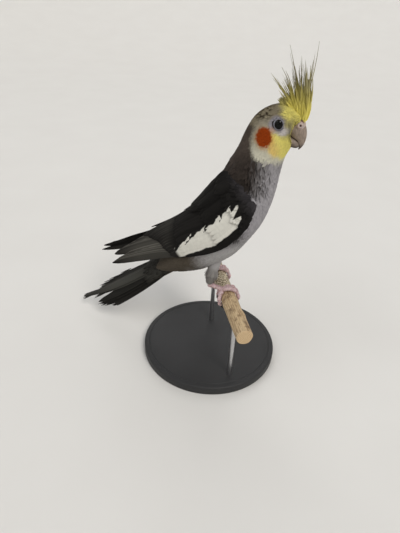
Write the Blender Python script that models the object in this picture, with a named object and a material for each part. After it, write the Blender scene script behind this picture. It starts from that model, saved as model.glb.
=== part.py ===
"""A grey cockatiel standing on a short piece of branch, on a plain display stand.

Metres, +Z up. The bird faces +X and its left side is +Y. The origin is the centre of the underside of the
stand's round base. The bird's own sizes are in millimetres in a frame of its own, whose zero lies in its
middle plane just under its belly, and at() turns them into metres in the part's frame.
"""

import math

import bpy
import numpy as np
from mathutils import Vector

MM = 0.001
GAP = 0.32  # between one piece and the next, mm

# The stand and the branch, mm.
BASE_RADIUS = 60.0
BASE_THICK = 8.0
BASE_BEVEL = 1.2
BASE_SIDES = 56
BIRD_UP = 68.0  # floor to the zero of the bird's own frame
BIRD_FORWARD = 14.0  # its zero is this far in front of the base's centre, which puts its weight over the base
BRANCH_TOP = (-4.2, 0.0, 9.4)  # where the top of the branch crosses the bird's middle plane
BRANCH_RADIUS = 6.4
BRANCH_YAW = math.radians(32)  # its far end is swung back by this much from square across the bird
BRANCH_NEAR, BRANCH_FAR = -66.0, 48.0  # its cut ends, from the middle plane
BRANCH_SIDES = 20
ROD_RADIUS = 2.0
ROD_PLACES = (-40.0, 34.0)  # along the branch
ROD_SIDES = 18
SOCKET_DEEP = 3.0  # the rods' holes in the base and the branch

# The bird's outline from the tail root to the face. Each rib has its point on the back and on the belly,
# then its half width and how far its widest place is shifted to the back (+) or the belly (-).
RIBS = np.array(
    [
        (-67.0, 9.0, -63.0, 4.5, 5.5, 0.0),
        (-61.0, 19.0, -55.0, 6.0, 9.5, 0.0),
        (-54.0, 31.0, -46.0, 9.0, 13.5, 0.0),
        (-47.0, 44.0, -35.0, 13.0, 18.0, -0.03),
        (-40.0, 57.0, -21.0, 19.5, 21.2, -0.06),
        (-33.0, 69.0, -9.0, 28.0, 23.4, -0.06),
        (-26.0, 80.0, 3.5, 39.0, 24.5, -0.06),
        (-19.5, 90.0, 12.5, 52.0, 23.5, -0.03),
        (-13.5, 99.5, 20.5, 66.5, 21.5, 0.0),
        (-8.5, 108.5, 25.0, 81.0, 19.5, 0.0),
        (-4.5, 117.0, 27.5, 95.0, 17.4, 0.0),
        (-1.0, 124.6, 28.6, 106.0, 15.8, 0.0),
        (1.5, 132.0, 29.5, 114.0, 15.2, -0.10),
        (5.0, 139.0, 30.5, 119.0, 15.6, -0.12),
        (9.5, 145.0, 31.8, 122.5, 16.0, -0.10),
        (15.5, 149.6, 33.0, 125.0, 15.8, -0.05),
        (22.5, 152.0, 34.0, 127.2, 14.8, 0.0),
        (29.5, 152.0, 34.8, 129.2, 12.8, 0.05),
        (35.5, 149.5, 35.4, 131.2, 10.0, 0.05),
        (38.8, 146.0, 36.0, 133.6, 6.8, 0.0),
    ]
)
FULLNESS = 0.90  # below 1 the ribs are fuller than ellipses
NECK_RIB = 9.6  # where the torso meets the neck, in ribs
HEAD_RIB = 12.4  # where the neck meets the head
BODY_SIDES = 24
TORSO_RINGS = 20
NECK_RINGS = 5
HEAD_RINGS = 13

# The head, mm.
EYE_PLACE = (25.4, 11.1, 142.8)
EYE_RADIUS = 4.3
LID_RING = 3.7  # radius of the lids' ring
LID_THICK = 0.95
BILL_BASE_WIDTH = 5.3  # half
CERE_PLACE = (37.6, 0.0, 142.6)
NOSTRIL = (38.9, 3.6, 144.0)
NOSTRIL_RADIUS = 0.9

# The wings. Rows run from the bend of the folded wing to past its tip: the lower edge, the upper edge, and
# how far the middle bulges outwards from the straight line between them.
WING_ROWS = np.array(
    [
        (20.0, 19.0, 90.0, 9.5, 16.0, 102.0, 2.0),
        (17.5, 22.6, 78.0, -4.5, 14.0, 103.5, 4.0),
        (8.0, 26.0, 61.5, -15.0, 11.0, 94.0, 6.0),
        (-10.0, 27.0, 48.5, -27.5, 7.6, 78.5, 7.0),
        (-33.0, 24.0, 37.5, -42.5, 5.6, 64.0, 5.8),
        (-57.0, 18.0, 26.5, -60.0, 5.2, 49.5, 3.6),
        (-82.0, 13.0, 14.5, -83.0, 5.6, 34.0, 2.0),
        (-106.0, 10.2, 3.0, -107.0, 6.4, 19.0, 1.0),
        (-130.0, 8.6, -8.0, -131.0, 6.8, 6.0, 0.4),
    ]
)
WING_CORE_END = 5.0  # the wing's flesh and small feathers end here, in rows
WING_CORE_DEEP = 6.0  # from the outer face inwards
VANE_THICK = 0.55
VANE_GAP = 0.38  # between a vane and the one that lies over it
# Each tier: how many, the places of the root and the tip of its first and last feathers as (row, share of
# the way from the lower edge to the upper), the half width in mm, and how far its tips stand out.
WING_TIERS = {
    "primary": (7, (4.3, 0.12), (6.95, 0.16), (4.2, 0.62), (6.0, 0.80), 4.2, 0.5),
    "secondary": (7, (3.2, 0.08), (5.35, 0.14), (2.9, 0.92), (5.65, 0.96), 5.4, 1.9),
    "greater": (7, (2.1, 0.06), (3.75, 0.06), (1.9, 0.94), (4.1, 0.92), 5.6, 2.2),
    "median": (6, (0.9, 0.10), (2.5, 0.10), (0.8, 0.90), (2.8, 0.90), 5.6, 2.2),
}
WING_SINK = 1.6  # the roots lie this deep in the flesh
VANE_SHAPE = (0.55, 0.95, 1.0, 0.90, 0.28)  # half widths from root to tip, as shares
LEFT_REACH = (0.95, 0.28)  # what the left wing's long feathers add to the right's, as (rows, share)
LEFT_LIFT = 0.9  # the left wing's tip is held a little higher, mm

# The tail: its root, the lie of its long feathers, and the fan.
TAIL_ROOT = (-55.0, 0.0, 18.5)
TAIL_SLOPE = math.radians(39.5)  # below level
TAIL_ROLL = math.radians(34)  # its right side is held lower
TAIL_PAIRS = 6
# How far each pair's tips are from the root, how far out they lie at root and tip, and their half width.
TAIL_LENGTHS = (124.0, 104.0, 101.0, 97.0, 91.0, 82.0)
TAIL_ROOT_STEP = 1.5
TAIL_TIP_STEP = 2.7
TAIL_HALF_WIDTH = 5.2
COVERT_LEAN = math.asin((VANE_THICK + VANE_GAP) / 4.0)

# The crest, mm: each feather's root on the crown, its tip, and its half width.
CREST_FEATHERS = (
    ((38.5, 0.0, 148.5), (41.0, 1.0, 173.0), 1.9),
    ((38.0, 1.6, 149.0), (43.0, 5.0, 169.0), 1.8),
    ((38.0, -1.6, 149.0), (39.0, -5.5, 167.0), 1.8),
    ((36.5, 0.8, 150.2), (40.5, -1.0, 191.5), 1.7),
    ((36.0, -1.6, 150.2), (35.0, -4.0, 178.0), 1.8),
    ((35.5, 2.0, 150.6), (36.5, 5.5, 181.0), 1.7),
    ((34.2, -0.4, 151.6), (30.5, 1.2, 181.0), 1.7),
    ((33.4, 1.8, 151.9), (29.0, 5.0, 174.5), 1.6),
    ((33.0, -1.8, 151.8), (27.5, -3.0, 179.5), 1.7),
    ((31.6, 0.2, 152.6), (22.5, 1.4, 175.0), 1.6),
    ((30.8, -1.8, 152.6), (21.0, -2.2, 173.5), 1.6),
    ((30.0, 1.6, 152.8), (19.5, 3.6, 168.0), 1.5),
    ((28.8, -0.4, 153.2), (20.0, -1.2, 162.5), 1.5),
    ((28.2, 1.0, 153.2), (14.0, 1.8, 171.0), 1.4),
)
CREST_THICK = 0.55

# The legs, mm. Places along the branch from the middle plane, the right foot's and the left foot's.
FOOT_PLACES = {"right": -14.6, "left": 16.6}
TOE_RADIUS = 1.6
TOE_SIDES = 7
# Each toe: its place along the branch from the foot's, where it starts and ends round the branch in degrees
# from the top, forwards being positive, and its radius at the end.
TOES = (
    ("outer_front", -2.8, -22.0, 108.0, 1.2),
    ("inner_front", 2.0, -22.0, 80.0, 1.2),
    ("outer_back", -5.0, -40.0, -128.0, 1.2),
    ("inner_back", 1.6, -42.0, -84.0, 1.1),
)
CLAW_LENGTH = 5.0
PALM = -34.0  # degrees round the branch from its top
# The ankle and the middle of the thigh where it leaves the belly, from the foot's spot on the branch's top.
HEELS = {"right": (-16.2, -0.6, 0.9), "left": (-12.0, 0.5, 3.4)}
THIGH_TOPS = {"right": (-15.5, 2.6, 12.0), "left": (-8.5, -2.6, 10.0)}
THIGH_RADII = (6.6, 4.9, 3.6, 2.7)


def at(x, y, z):
    """Metres in the part's frame, from millimetres at the bird's feet."""
    return Vector(((x + BIRD_FORWARD) * MM, y * MM, (z + BIRD_UP) * MM))


def unit(v):
    v = np.asarray(v, float)
    return v / np.linalg.norm(v)


def spline(rows, s):
    """The smooth curve through the rows, at place s counted in rows."""
    rows = np.asarray(rows, float)
    last = len(rows) - 1
    s = min(max(s, 0.0), float(last))
    i = min(int(s), last - 1)
    t = s - i
    p1, p2 = rows[i], rows[i + 1]
    p0 = rows[i - 1] if i > 0 else 2 * p1 - p2
    p3 = rows[i + 2] if i + 2 <= last else 2 * p2 - p1
    return 0.5 * (
        2 * p1 + (p2 - p0) * t + (2 * p0 - 5 * p1 + 4 * p2 - p3) * t**2 + (3 * p1 - p0 - 3 * p2 + p3) * t**3
    )


def material(name, colour, roughness=0.7, metallic=0.0):
    made = bpy.data.materials.get(name) or bpy.data.materials.new(name)
    made.use_nodes = True
    shader = made.node_tree.nodes["Principled BSDF"]
    shader.inputs["Base Color"].default_value = (*colour, 1.0)
    shader.inputs["Roughness"].default_value = roughness
    shader.inputs["Metallic"].default_value = metallic
    return made


def solid(name, points, faces, finish=None):
    """An object from points in millimetres at the bird's feet, with its faces turned outwards."""
    mesh = bpy.data.meshes.new(name)
    mesh.from_pydata([at(*p) for p in points], [], faces)
    if signed_volume(mesh) < 0:
        mesh.flip_normals()
    mesh.validate()
    made = bpy.data.objects.new(name, mesh)
    bpy.context.scene.collection.objects.link(made)
    if finish:
        mesh.materials.append(finish)
    return made


def signed_volume(mesh):
    mesh.calc_loop_triangles()
    corners = np.array([[mesh.vertices[v].co for v in t.vertices] for t in mesh.loop_triangles])
    return float(np.linalg.det(corners).sum()) / 6


def tube_faces(rings, count):
    """Faces of a closed tube of rings of points, each with a flat end."""
    faces = [tuple(range(count))[::-1]]
    for i in range(rings - 1):
        for j in range(count):
            k = (j + 1) % count
            a, b = i * count, (i + 1) * count
            faces.append((a + j, a + k, b + k))
            faces.append((a + j, b + k, b + j))
    faces.append(tuple(range((rings - 1) * count, rings * count)))
    return faces


def tube(name, centres, radii, sides, finish=None, flat=1.0):
    """A round tube through the centres, flattened upwards by the share given."""
    centres = np.asarray(centres, float)
    points = []
    side = None
    for i, centre in enumerate(centres):
        along = unit(centres[min(i + 1, len(centres) - 1)] - centres[max(i - 1, 0)])
        side = unit(np.cross(along, (0, 0, 1)) if side is None else side - along * (side @ along))
        up = np.cross(side, along)
        for j in range(sides):
            turn = 2 * math.pi * j / sides
            points.append(centre + radii[i] * (side * math.cos(turn) + up * flat * math.sin(turn)))
    return solid(name, points, tube_faces(len(centres), sides), finish)


def ball(name, centre, radii, rings, sides, finish=None, tilt=None):
    """An ellipsoid. tilt is a function that turns each of its points about its centre."""
    points = [(0, 0, radii[2])]
    for i in range(1, rings):
        down = math.pi * i / rings
        for j in range(sides):
            turn = 2 * math.pi * j / sides
            points.append(
                (
                    radii[0] * math.sin(down) * math.cos(turn),
                    radii[1] * math.sin(down) * math.sin(turn),
                    radii[2] * math.cos(down),
                )
            )
    points.append((0, 0, -radii[2]))
    faces = [(0, 1 + j, 1 + (j + 1) % sides) for j in range(sides)]
    for i in range(rings - 2):
        for j in range(sides):
            a, b, k = 1 + i * sides, 1 + (i + 1) * sides, (j + 1) % sides
            faces.append((a + j, b + j, b + k, a + k))
    end, a = len(points) - 1, 1 + (rings - 2) * sides
    faces += [(end, a + (j + 1) % sides, a + j) for j in range(sides)]
    points = [np.array(p, float) for p in points]
    if tilt:
        points = [tilt(p) for p in points]
    return solid(name, [p + np.asarray(centre, float) for p in points], faces, finish)


def vane(name, spine, normals, half_widths, leans=None, thick=VANE_THICK):
    """One feather: a thin plate along its spine, alike on both faces.

    The leans turn the plate about its shaft, so that neighbours lie over one another like slats.
    """
    spine = np.asarray(spine, float)
    points = []
    for i, centre in enumerate(spine):
        along = unit(spine[min(i + 1, len(spine) - 1)] - spine[max(i - 1, 0)])
        up = unit(normals[i] - along * (np.asarray(normals[i]) @ along))
        side = np.cross(along, up)
        lean = leans[i] if leans else 0.0
        side, up = (
            side * math.cos(lean) + up * math.sin(lean),
            up * math.cos(lean) - side * math.sin(lean),
        )
        for across, rise in ((-1, 1), (1, 1), (1, -1), (-1, -1)):
            points.append(centre + side * across * half_widths[i] + up * rise * thick / 2)
    faces = [(3, 2, 1, 0)]
    for i in range(len(spine) - 1):
        a, b = i * 4, (i + 1) * 4
        # The two faces are split along the same diagonal, so that the plate keeps its thickness.
        faces += [(a, a + 1, b + 1), (a, b + 1, b), (a + 2, a + 3, b + 2), (a + 3, b + 3, b + 2)]
        faces += [(a + 1, a + 2, b + 2, b + 1), (a + 3, a, b, b + 3)]
    end = (len(spine) - 1) * 4
    faces.append((end, end + 1, end + 2, end + 3))
    return solid(name, points, faces)


def apply_boolean(target, operation, tool=None, tools=None, solver="MANIFOLD"):
    boolean = target.modifiers.new("join", "BOOLEAN")
    boolean.operation = operation
    boolean.solver = solver
    if tools:
        boolean.operand_type = "COLLECTION"
        boolean.collection = tools
    else:
        boolean.object = tool
    graph = bpy.context.evaluated_depsgraph_get()
    mesh = bpy.data.meshes.new_from_object(target.evaluated_get(graph))
    target.modifiers.remove(boolean)
    target.data = mesh


def join(target, others):
    """Fuses the others into the target, as one union, and removes them."""
    group = bpy.data.collections.new("joining")
    bpy.context.scene.collection.children.link(group)
    for other in others:
        group.objects.link(other)
        bpy.context.scene.collection.objects.unlink(other)
    apply_boolean(target, "UNION", tools=group)
    for other in others:
        bpy.data.objects.remove(other)
    bpy.data.collections.remove(group)
    keep_largest(target)
    return target


def grown(source, distance=GAP):
    """A helper the shape of the source, bigger by the distance all round."""
    mesh = source.data.copy()
    normals = [v.normal.copy() for v in mesh.vertices]
    for vertex, normal in zip(mesh.vertices, normals):
        vertex.co += normal * distance * MM
    made = bpy.data.objects.new("helper", mesh)
    bpy.context.scene.collection.objects.link(made)
    return made


def cut_clear(target, *neighbours, distance=GAP):
    """Takes away what lies in the neighbours or within the distance of them."""
    for neighbour in neighbours:
        tool = grown(neighbour, distance)
        apply_boolean(target, "DIFFERENCE", tool=tool)
        bpy.data.objects.remove(tool)
    keep_largest(target)
    return target


def keep_largest(target):
    """Leaves only the largest closed surface."""
    mesh = target.data
    parent = list(range(len(mesh.vertices)))

    def root(i):
        while parent[i] != i:
            parent[i] = parent[parent[i]]
            i = parent[i]
        return i

    for edge in mesh.edges:
        a, b = (root(v) for v in edge.vertices)
        if a != b:
            parent[a] = b
    groups = {}
    for polygon in mesh.polygons:
        groups.setdefault(root(polygon.vertices[0]), []).append(polygon.index)
    if len(groups) < 2:
        return

    def size(members):
        box = np.array([mesh.vertices[v].co for p in members for v in mesh.polygons[p].vertices])
        return float(np.prod(box.max(0) - box.min(0)))

    best = max(groups.values(), key=size)
    kept = [tuple(mesh.polygons[p].vertices) for p in best]
    used = sorted({v for face in kept for v in face})
    index = {v: i for i, v in enumerate(used)}
    made = bpy.data.meshes.new(mesh.name)
    made.from_pydata([mesh.vertices[v].co for v in used], [], [[index[v] for v in face] for face in kept])
    for finish in mesh.materials:
        made.materials.append(finish)
    target.data = made


def smooth(target, angle=math.radians(40)):
    target.data.shade_smooth()
    target.data.set_sharp_from_angle(angle=angle)


def rib_ring(s, sides):
    """Points round the body at place s along it, from the middle of the back over the right side."""
    back_x, back_z, belly_x, belly_z, half, shift = spline(RIBS, s)
    middle = np.array([(back_x + belly_x) / 2, 0, (back_z + belly_z) / 2])
    reach = np.array([(back_x - belly_x) / 2, 0, (back_z - belly_z) / 2])
    points = []
    for j in range(sides):
        turn = 2 * math.pi * j / sides
        sine, cosine = math.sin(turn), math.cos(turn)
        out = -half * math.copysign(abs(sine) ** FULLNESS, sine)
        points.append(middle + reach * (cosine + shift * sine**2) + np.array([0, out, 0]))
    return points


def along_body(s):
    """The direction along the body at place s, from tail to face."""
    step = 0.05
    ahead, behind = (np.mean(rib_ring(s + d, 8), axis=0) for d in (step, -step))
    return unit(ahead - behind)


def body_piece(name, start, end, rings, finish, open_gap=(True, True)):
    """The body from one rib to another, its ends drawn back from its neighbours by half the gap."""
    points = []
    for i in range(rings):
        s = start + (end - start) * i / (rings - 1)
        ring = rib_ring(s, BODY_SIDES)
        if i == 0 and open_gap[0]:
            ring = [p + along_body(s) * GAP / 2 for p in ring]
        if i == rings - 1 and open_gap[1]:
            ring = [p - along_body(s) * GAP / 2 for p in ring]
        points += ring
    return solid(name, points, tube_faces(rings, BODY_SIDES), finish)


def mirrored(point, side):
    return np.array([point[0], point[1] * side, point[2]])


def build_head(finishes):
    """The head with its lids, eyes, cere and bill."""
    head = body_piece("head", HEAD_RIB, len(RIBS) - 1.0, HEAD_RINGS, finishes["yellow"], (True, False))
    eyes = {}
    for side, word in ((-1, "right"), (1, "left")):
        place = mirrored(EYE_PLACE, side)
        outwards = unit([0.25, side * 1.0, 0.08])
        across = unit(np.cross(outwards, (0, 0, 1)))
        up = np.cross(across, outwards)
        ring = []
        steps = 18
        rise = EYE_RADIUS * 0.52
        for i in range(steps):
            turn = 2 * math.pi * i / steps
            ring.append(place + outwards * rise + LID_RING * (across * math.cos(turn) + up * math.sin(turn)))
        lid = closed_ring("lid", ring, outwards, LID_THICK)
        join(head, [lid])
        eyes[word] = ball(f"eye_{word}", place, (EYE_RADIUS,) * 3, 9, 14, finishes["eye"])
        cut_clear(head, eyes[word])
    upper = build_upper_bill(finishes["bill"])
    lower = build_lower_bill(finishes["bill"])
    cere = build_cere(finishes["skin"])
    cut_clear(upper, head)
    cut_clear(lower, head, upper)
    cut_clear(cere, head, upper)
    for piece in (head, upper, lower, cere, *eyes.values()):
        smooth(piece)
    return head, cere


def closed_ring(name, centres, normal, radius, sides=6):
    """A round cord bent into a closed loop, a little flattened."""
    points, count = [], len(centres)
    middle = np.mean(centres, axis=0)
    for centre in centres:
        out = unit(centre - middle)
        for j in range(sides):
            turn = 2 * math.pi * j / sides
            points.append(centre + radius * (out * math.cos(turn) + normal * 0.8 * math.sin(turn)))
    faces = []
    for i in range(count):
        for j in range(sides):
            a, b, k = i * sides, (i + 1) % count * sides, (j + 1) % sides
            faces.append((a + j, a + k, b + k, b + j))
    return solid(name, points, faces)


def build_upper_bill(finish):
    """The hooked upper bill: sections from its root in the face, round the ridge, to the sharp tip."""
    # Each row is the ridge point, the edge point below it, and the half width there.
    rows = np.array(
        [
            (34.5, 145.0, 31.0, 135.5, 4.8),
            (38.6, 143.6, 32.6, 134.2, 5.0),
            (41.2, 141.0, 34.2, 133.2, 4.6),
            (42.4, 137.6, 35.8, 132.4, 3.9),
            (42.7, 134.0, 37.2, 131.2, 3.1),
            (42.2, 130.6, 38.2, 129.6, 2.2),
            (41.0, 127.9, 38.8, 127.6, 1.2),
            (39.4, 125.9, 38.7, 125.9, 0.5),
        ]
    )
    sides, count = 14, 16
    points = []
    for i in range(count):
        ridge_x, ridge_z, edge_x, edge_z, half = spline(rows, i * (len(rows) - 1) / (count - 1))
        ridge, edge = np.array([ridge_x, 0, ridge_z]), np.array([edge_x, 0, edge_z])
        for j in range(sides):
            turn = 2 * math.pi * j / sides
            share = (1 - math.cos(turn)) / 2
            out = half * math.copysign(abs(math.sin(turn)) ** 0.8, math.sin(turn)) * (0.75 + 0.25 * share)
            points.append(ridge + (edge - ridge) * share + np.array([0, out, 0]))
    return solid("bill_upper", points, tube_faces(count, sides), finish)


def build_lower_bill(finish):
    """The short scoop of the lower bill, tucked behind the hook."""
    rows = np.array(
        [
            (32.4, 134.2, 31.6, 127.8, 4.2),
            (34.2, 132.6, 33.4, 127.0, 4.0),
            (35.6, 131.0, 35.4, 127.2, 3.2),
            (36.6, 129.6, 36.6, 127.8, 1.9),
        ]
    )
    sides, count = 12, 8
    points = []
    for i in range(count):
        top_x, top_z, low_x, low_z, half = spline(rows, i * (len(rows) - 1) / (count - 1))
        top, low = np.array([top_x, 0, top_z]), np.array([low_x, 0, low_z])
        for j in range(sides):
            turn = 2 * math.pi * j / sides
            share = (1 - math.cos(turn)) / 2
            points.append(top + (low - top) * share + np.array([0, half * math.sin(turn), 0]))
    return solid("bill_lower", points, tube_faces(count, sides), finish)


def build_cere(finish):
    """The bare skin over the root of the bill, with its two nostrils."""
    cere = ball("cere", CERE_PLACE, (3.3, 4.8, 2.6), 8, 18, finish)
    for side in (-1, 1):
        hole = ball("hole", mirrored(NOSTRIL, side), (NOSTRIL_RADIUS,) * 3, 6, 10)
        apply_boolean(cere, "DIFFERENCE", tool=hole)
        bpy.data.objects.remove(hole)
    return cere


def wing_point(s, v, out, side):
    """A point of the wing at row s and share v of the way from its lower edge up, this far out."""
    low_x, low_y, low_z, up_x, up_y, up_z, bulge = wing_row(s)
    low, up = np.array([low_x, low_y, low_z]), np.array([up_x, up_y, up_z])
    point = low + (up - low) * v + wing_out(s) * (bulge * 4 * v * (1 - v) + out)
    if side > 0:
        point[2] += LEFT_LIFT * max(0.0, s - 4.5) ** 1.5
    return mirrored(point, side)


def wing_row(s):
    """The wing's row at s, which may be past the last one."""
    last = len(WING_ROWS) - 1
    if s <= last:
        return spline(WING_ROWS, s)
    return WING_ROWS[-1] + (WING_ROWS[-1] - WING_ROWS[-2]) * (s - last)


def wing_out(s):
    """The direction out of the left wing at row s."""
    low_x, low_y, low_z, up_x, up_y, up_z, _ = wing_row(s)
    ahead, behind = wing_row(s - 0.1), wing_row(s + 0.1)
    across = unit([up_x - low_x, up_y - low_y, up_z - low_z])
    return unit(np.cross(unit(ahead[:3] - behind[:3]), across) * -1)


def wing_normal(s, v, side):
    """The outward direction of the wing's bulged surface at row s and share v."""
    step = 0.04
    along = wing_point(s + step, v, 0, 1) - wing_point(s - step, v, 0, 1)
    across = wing_point(s, v + step, 0, 1) - wing_point(s, v - step, 0, 1)
    return mirrored(unit(np.cross(along, across)), side)


def build_wing(word, side, finish, torso, neck):
    """A folded wing: its flesh, then its tiers of feathers, rooted in it."""
    rows, across = 11, 7
    points = []
    for i in range(rows):
        s = WING_CORE_END * i / (rows - 1)
        end = min(1.0, (1 - i / (rows - 1)) * 3 + 0.16, 0.35 + i * 0.3)
        outer = [wing_point(s, j / (across - 1), 0, side) for j in range(across)]
        inner = [
            wing_point(s, 0.03 + 0.94 * j / (across - 1), -WING_CORE_DEEP * end, side)
            for j in range(across)
        ]
        points += outer + inner[::-1]
    core = solid(f"wing_{word}", points, tube_faces(rows, 2 * across), finish)
    vanes = []
    for name, tier in WING_TIERS.items():
        vanes += wing_tier(name, tier, side)
    join(core, vanes)
    cut_clear(core, torso, neck)
    return core


def wing_tier(name, tier, side):
    """One tier of feathers, from the lower edge of the wing upwards, each lying over the one before."""
    count, first_root, first_tip, final_root, final_tip, half, out = tier
    more = np.array(LEFT_REACH) if name == "primary" and side > 0 else np.zeros(2)

    def place(i, t):
        share = i / (count - 1)
        root = np.array(first_root) + (np.array(final_root) - first_root) * share
        tip = np.array(first_tip) + (np.array(final_tip) - first_tip) * share + more
        return root + (tip - root) * t

    def point(i, t):
        return wing_point(*place(i, t), -WING_SINK + (out + WING_SINK) * t**0.6, side)

    made = []
    for i in range(count):
        spine, normals, leans = [], [], []
        for t in np.linspace(0, 1, len(VANE_SHAPE)):
            spine.append(point(i, t))
            normals.append(wing_normal(*place(i, t), side))
            along = unit(point(i, min(1.0, t + 0.1)) - point(i, max(0.0, t - 0.1)))
            step = point(i + 0.5, t) - point(i - 0.5, t)
            pitch = np.linalg.norm(step - along * (step @ along))
            leans.append(side * math.asin(min(0.6, (VANE_THICK + VANE_GAP) / pitch)))
        made.append(vane(f"{name}_{i}", spine, normals, [half * w for w in VANE_SHAPE], leans))
    return made


def tail_point(reach, across, rise):
    """A point of the tail this far from its root, towards its left side, and out of its upper face."""
    slope = TAIL_SLOPE + math.radians(4) * (0.5 - reach / TAIL_LENGTHS[0])
    along = np.array([-math.cos(slope), 0, -math.sin(slope)])
    face = np.array([-math.sin(slope), 0, math.cos(slope)])
    left = np.array([0.0, 1.0, 0.0])
    turned_left = left * math.cos(TAIL_ROLL) + face * math.sin(TAIL_ROLL)
    turned_face = face * math.cos(TAIL_ROLL) - left * math.sin(TAIL_ROLL)
    return np.array(TAIL_ROOT) + along * reach + turned_left * across + turned_face * rise


def build_tail(finish, torso, wings):
    """The tail: its fleshy root and the feathers over and under it, then the twelve long feathers."""
    points, rings, sides = [], 7, 14
    for i in range(rings):
        t = i / (rings - 1)
        reach = -4 + 44 * t
        for j in range(sides):
            turn = 2 * math.pi * j / sides
            points.append(
                tail_point(
                    reach,
                    (9.5 + 1.5 * t) * math.cos(turn),
                    (9.0 - 6.6 * t) * math.sin(turn) - 5.0 * (1 - t) - 2.4 * t,
                )
            )
    core = solid("tail", points, tube_faces(rings, sides), finish)
    layer = VANE_THICK + VANE_GAP
    feathers = []
    for pair in range(TAIL_PAIRS):
        for side in (-1, 1):
            place = pair + (0.0 if side < 0 else 0.45)
            spine, normals, widths = [], [], []
            for k in range(7):
                t = k / 6
                reach = 6 + (TAIL_LENGTHS[pair] - 6) * t
                out = side * (0.8 + pair * (TAIL_ROOT_STEP + (TAIL_TIP_STEP - TAIL_ROOT_STEP) * t))
                drop = -place * layer - 0.35 * pair * t
                spine.append(tail_point(reach, out, drop))
                normals.append(tail_point(reach, 0, 1) - tail_point(reach, 0, 0))
                widths.append(TAIL_HALF_WIDTH * (0.5, 0.8, 1.0, 1.0, 0.92, 0.68, 0.14)[k])
            feathers.append(vane("rectrix", spine, normals, widths))
    for row, (count, reach, half) in enumerate(((5, 46.0, 4.6), (6, 34.0, 4.4))):
        for i in range(count):
            across = (i - (count - 1) / 2) * 4.0
            spine, normals, widths = [], [], []
            for k in range(5):
                t = k / 4
                spine.append(tail_point(-2 + reach * t, across * (0.9 + 0.2 * t), 1.4 + 1.1 * row))
                normals.append(tail_point(0, 0.18 * (i - count / 2), 1) - tail_point(0, 0, 0))
                widths.append(half * (0.6, 0.95, 1.0, 0.9, 0.35)[k])
            feathers.append(vane("covert", spine, normals, widths, [COVERT_LEAN] * len(spine)))
    join(core, feathers)
    cut_clear(core, torso, *wings)
    return core


def build_crest(finish, head):
    """The crest: a low pad let into the crown, with its thin feathers rooted in it."""
    lean = math.radians(14)

    def tilt(p):
        return np.array(
            [p[0] * math.cos(lean) + p[2] * math.sin(lean), p[1], p[2] * math.cos(lean) - p[0] * math.sin(lean)]
        )

    pad = ball("crest", (34.0, 0, 149.0), (7.2, 4.6, 3.4), 8, 16, finish, tilt)
    feathers = []
    for root, tip, half in CREST_FEATHERS:
        root, tip = np.array(root), np.array(tip)
        length = np.linalg.norm(tip - root)
        spine, normals, widths = [], [], []
        start = root - unit(tip - root) * 1.5
        for k in range(6):
            t = k / 5
            bow = np.array([1.0, 0, 0]) * 0.05 * length * math.sin(math.pi * t)
            spine.append(start + (tip - start) * t + bow)
            normals.append(np.array([0.35, -0.9, 0.1]))
            widths.append(half * (0.55, 0.95, 1.0, 0.8, 0.5, 0.16)[k])
        feathers.append(vane("plume", spine, normals, widths, thick=CREST_THICK))
    cut_clear(head, pad)
    join(pad, feathers)
    cut_clear(pad, head)
    return pad


def branch_frame():
    """The branch's axis point under the middle plane, its direction to the far end, and forwards across it."""
    along = np.array([-math.sin(BRANCH_YAW), math.cos(BRANCH_YAW), 0])
    forward = np.array([math.cos(BRANCH_YAW), math.sin(BRANCH_YAW), 0])
    return np.array(BRANCH_TOP) - np.array([0, 0, BRANCH_RADIUS]), along, forward


def round_branch(place, degrees, radius):
    """A point this far along the branch, at this angle from its top, forwards being positive."""
    middle, along, forward = branch_frame()
    turn = math.radians(degrees)
    return middle + along * place + radius * (forward * math.sin(turn) + np.array([0, 0, math.cos(turn)]))


def build_foot(word, finishes, torso, branch):
    """A leg: the feathered thigh, the bare shank with its four toes round the branch, and the claws."""
    place = FOOT_PLACES[word]
    spot = round_branch(place, 0, BRANCH_RADIUS)
    clear = BRANCH_RADIUS + GAP
    heel = spot + np.array(HEELS[word])
    palm = round_branch(place, PALM, clear + 2.2)
    shank = tube(
        f"foot_{word}",
        [heel + (heel - palm) * 0.1, heel, heel + (palm - heel) * 0.5, palm, round_branch(place, 0, clear + 1.7)],
        [1.3, 2.2, 1.8, 2.15, 1.7],
        12,
        finishes["skin"],
    )
    claws, toes = [], []
    for name, shift, start, end, radius in TOES:
        stations = max(5, round(abs(end - start) / 15))
        centres, radii = [], []
        for i in range(stations + 1):
            t = i / stations
            size = TOE_RADIUS + (radius - TOE_RADIUS) * t + 0.12 * math.sin(t * 3 * math.pi) ** 2
            centres.append(
                round_branch(place + shift * min(1, 0.35 + 1.3 * t), start + (end - start) * t, clear + size)
            )
            radii.append(size)
        toes.append(tube("toe", centres, radii, TOE_SIDES))
        claws.append(build_claw(f"claw_{word}_{name}", place + shift, end, radius, finishes["claw"]))
    join(shank, toes)
    cut_clear(shank, branch)
    for claw in claws:
        cut_clear(claw, shank)
    top = spot + np.array(THIGH_TOPS[word])
    lower = heel + np.array([0.0, 0.0, 2.0])
    thigh = tube(
        f"thigh_{word}",
        [top + (top - lower) * 1.5, top, lower + (top - lower) * 0.4, lower],
        THIGH_RADII,
        16,
        finishes["grey"],
    )
    cut_clear(thigh, torso, shank)
    for piece in (thigh, shank, *claws):
        smooth(piece)


def build_claw(name, place, end, radius, finish):
    """A claw that carries on the toe's curve to a point."""
    turn = 1 if end > 0 else -1
    clear = BRANCH_RADIUS + GAP
    centres, radii = [], []
    for i in range(5):
        t = i / 4
        degrees = end + turn * (math.degrees(CLAW_LENGTH / (clear + radius)) * t - 3)
        centres.append(round_branch(place, degrees, clear + radius + 0.9 * math.sin(t * 2.2) - 0.25 * t))
        radii.append((0.95, 0.9, 0.72, 0.48, 0.2)[i])
    return tube(name, centres, radii, 7, finish)


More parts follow.
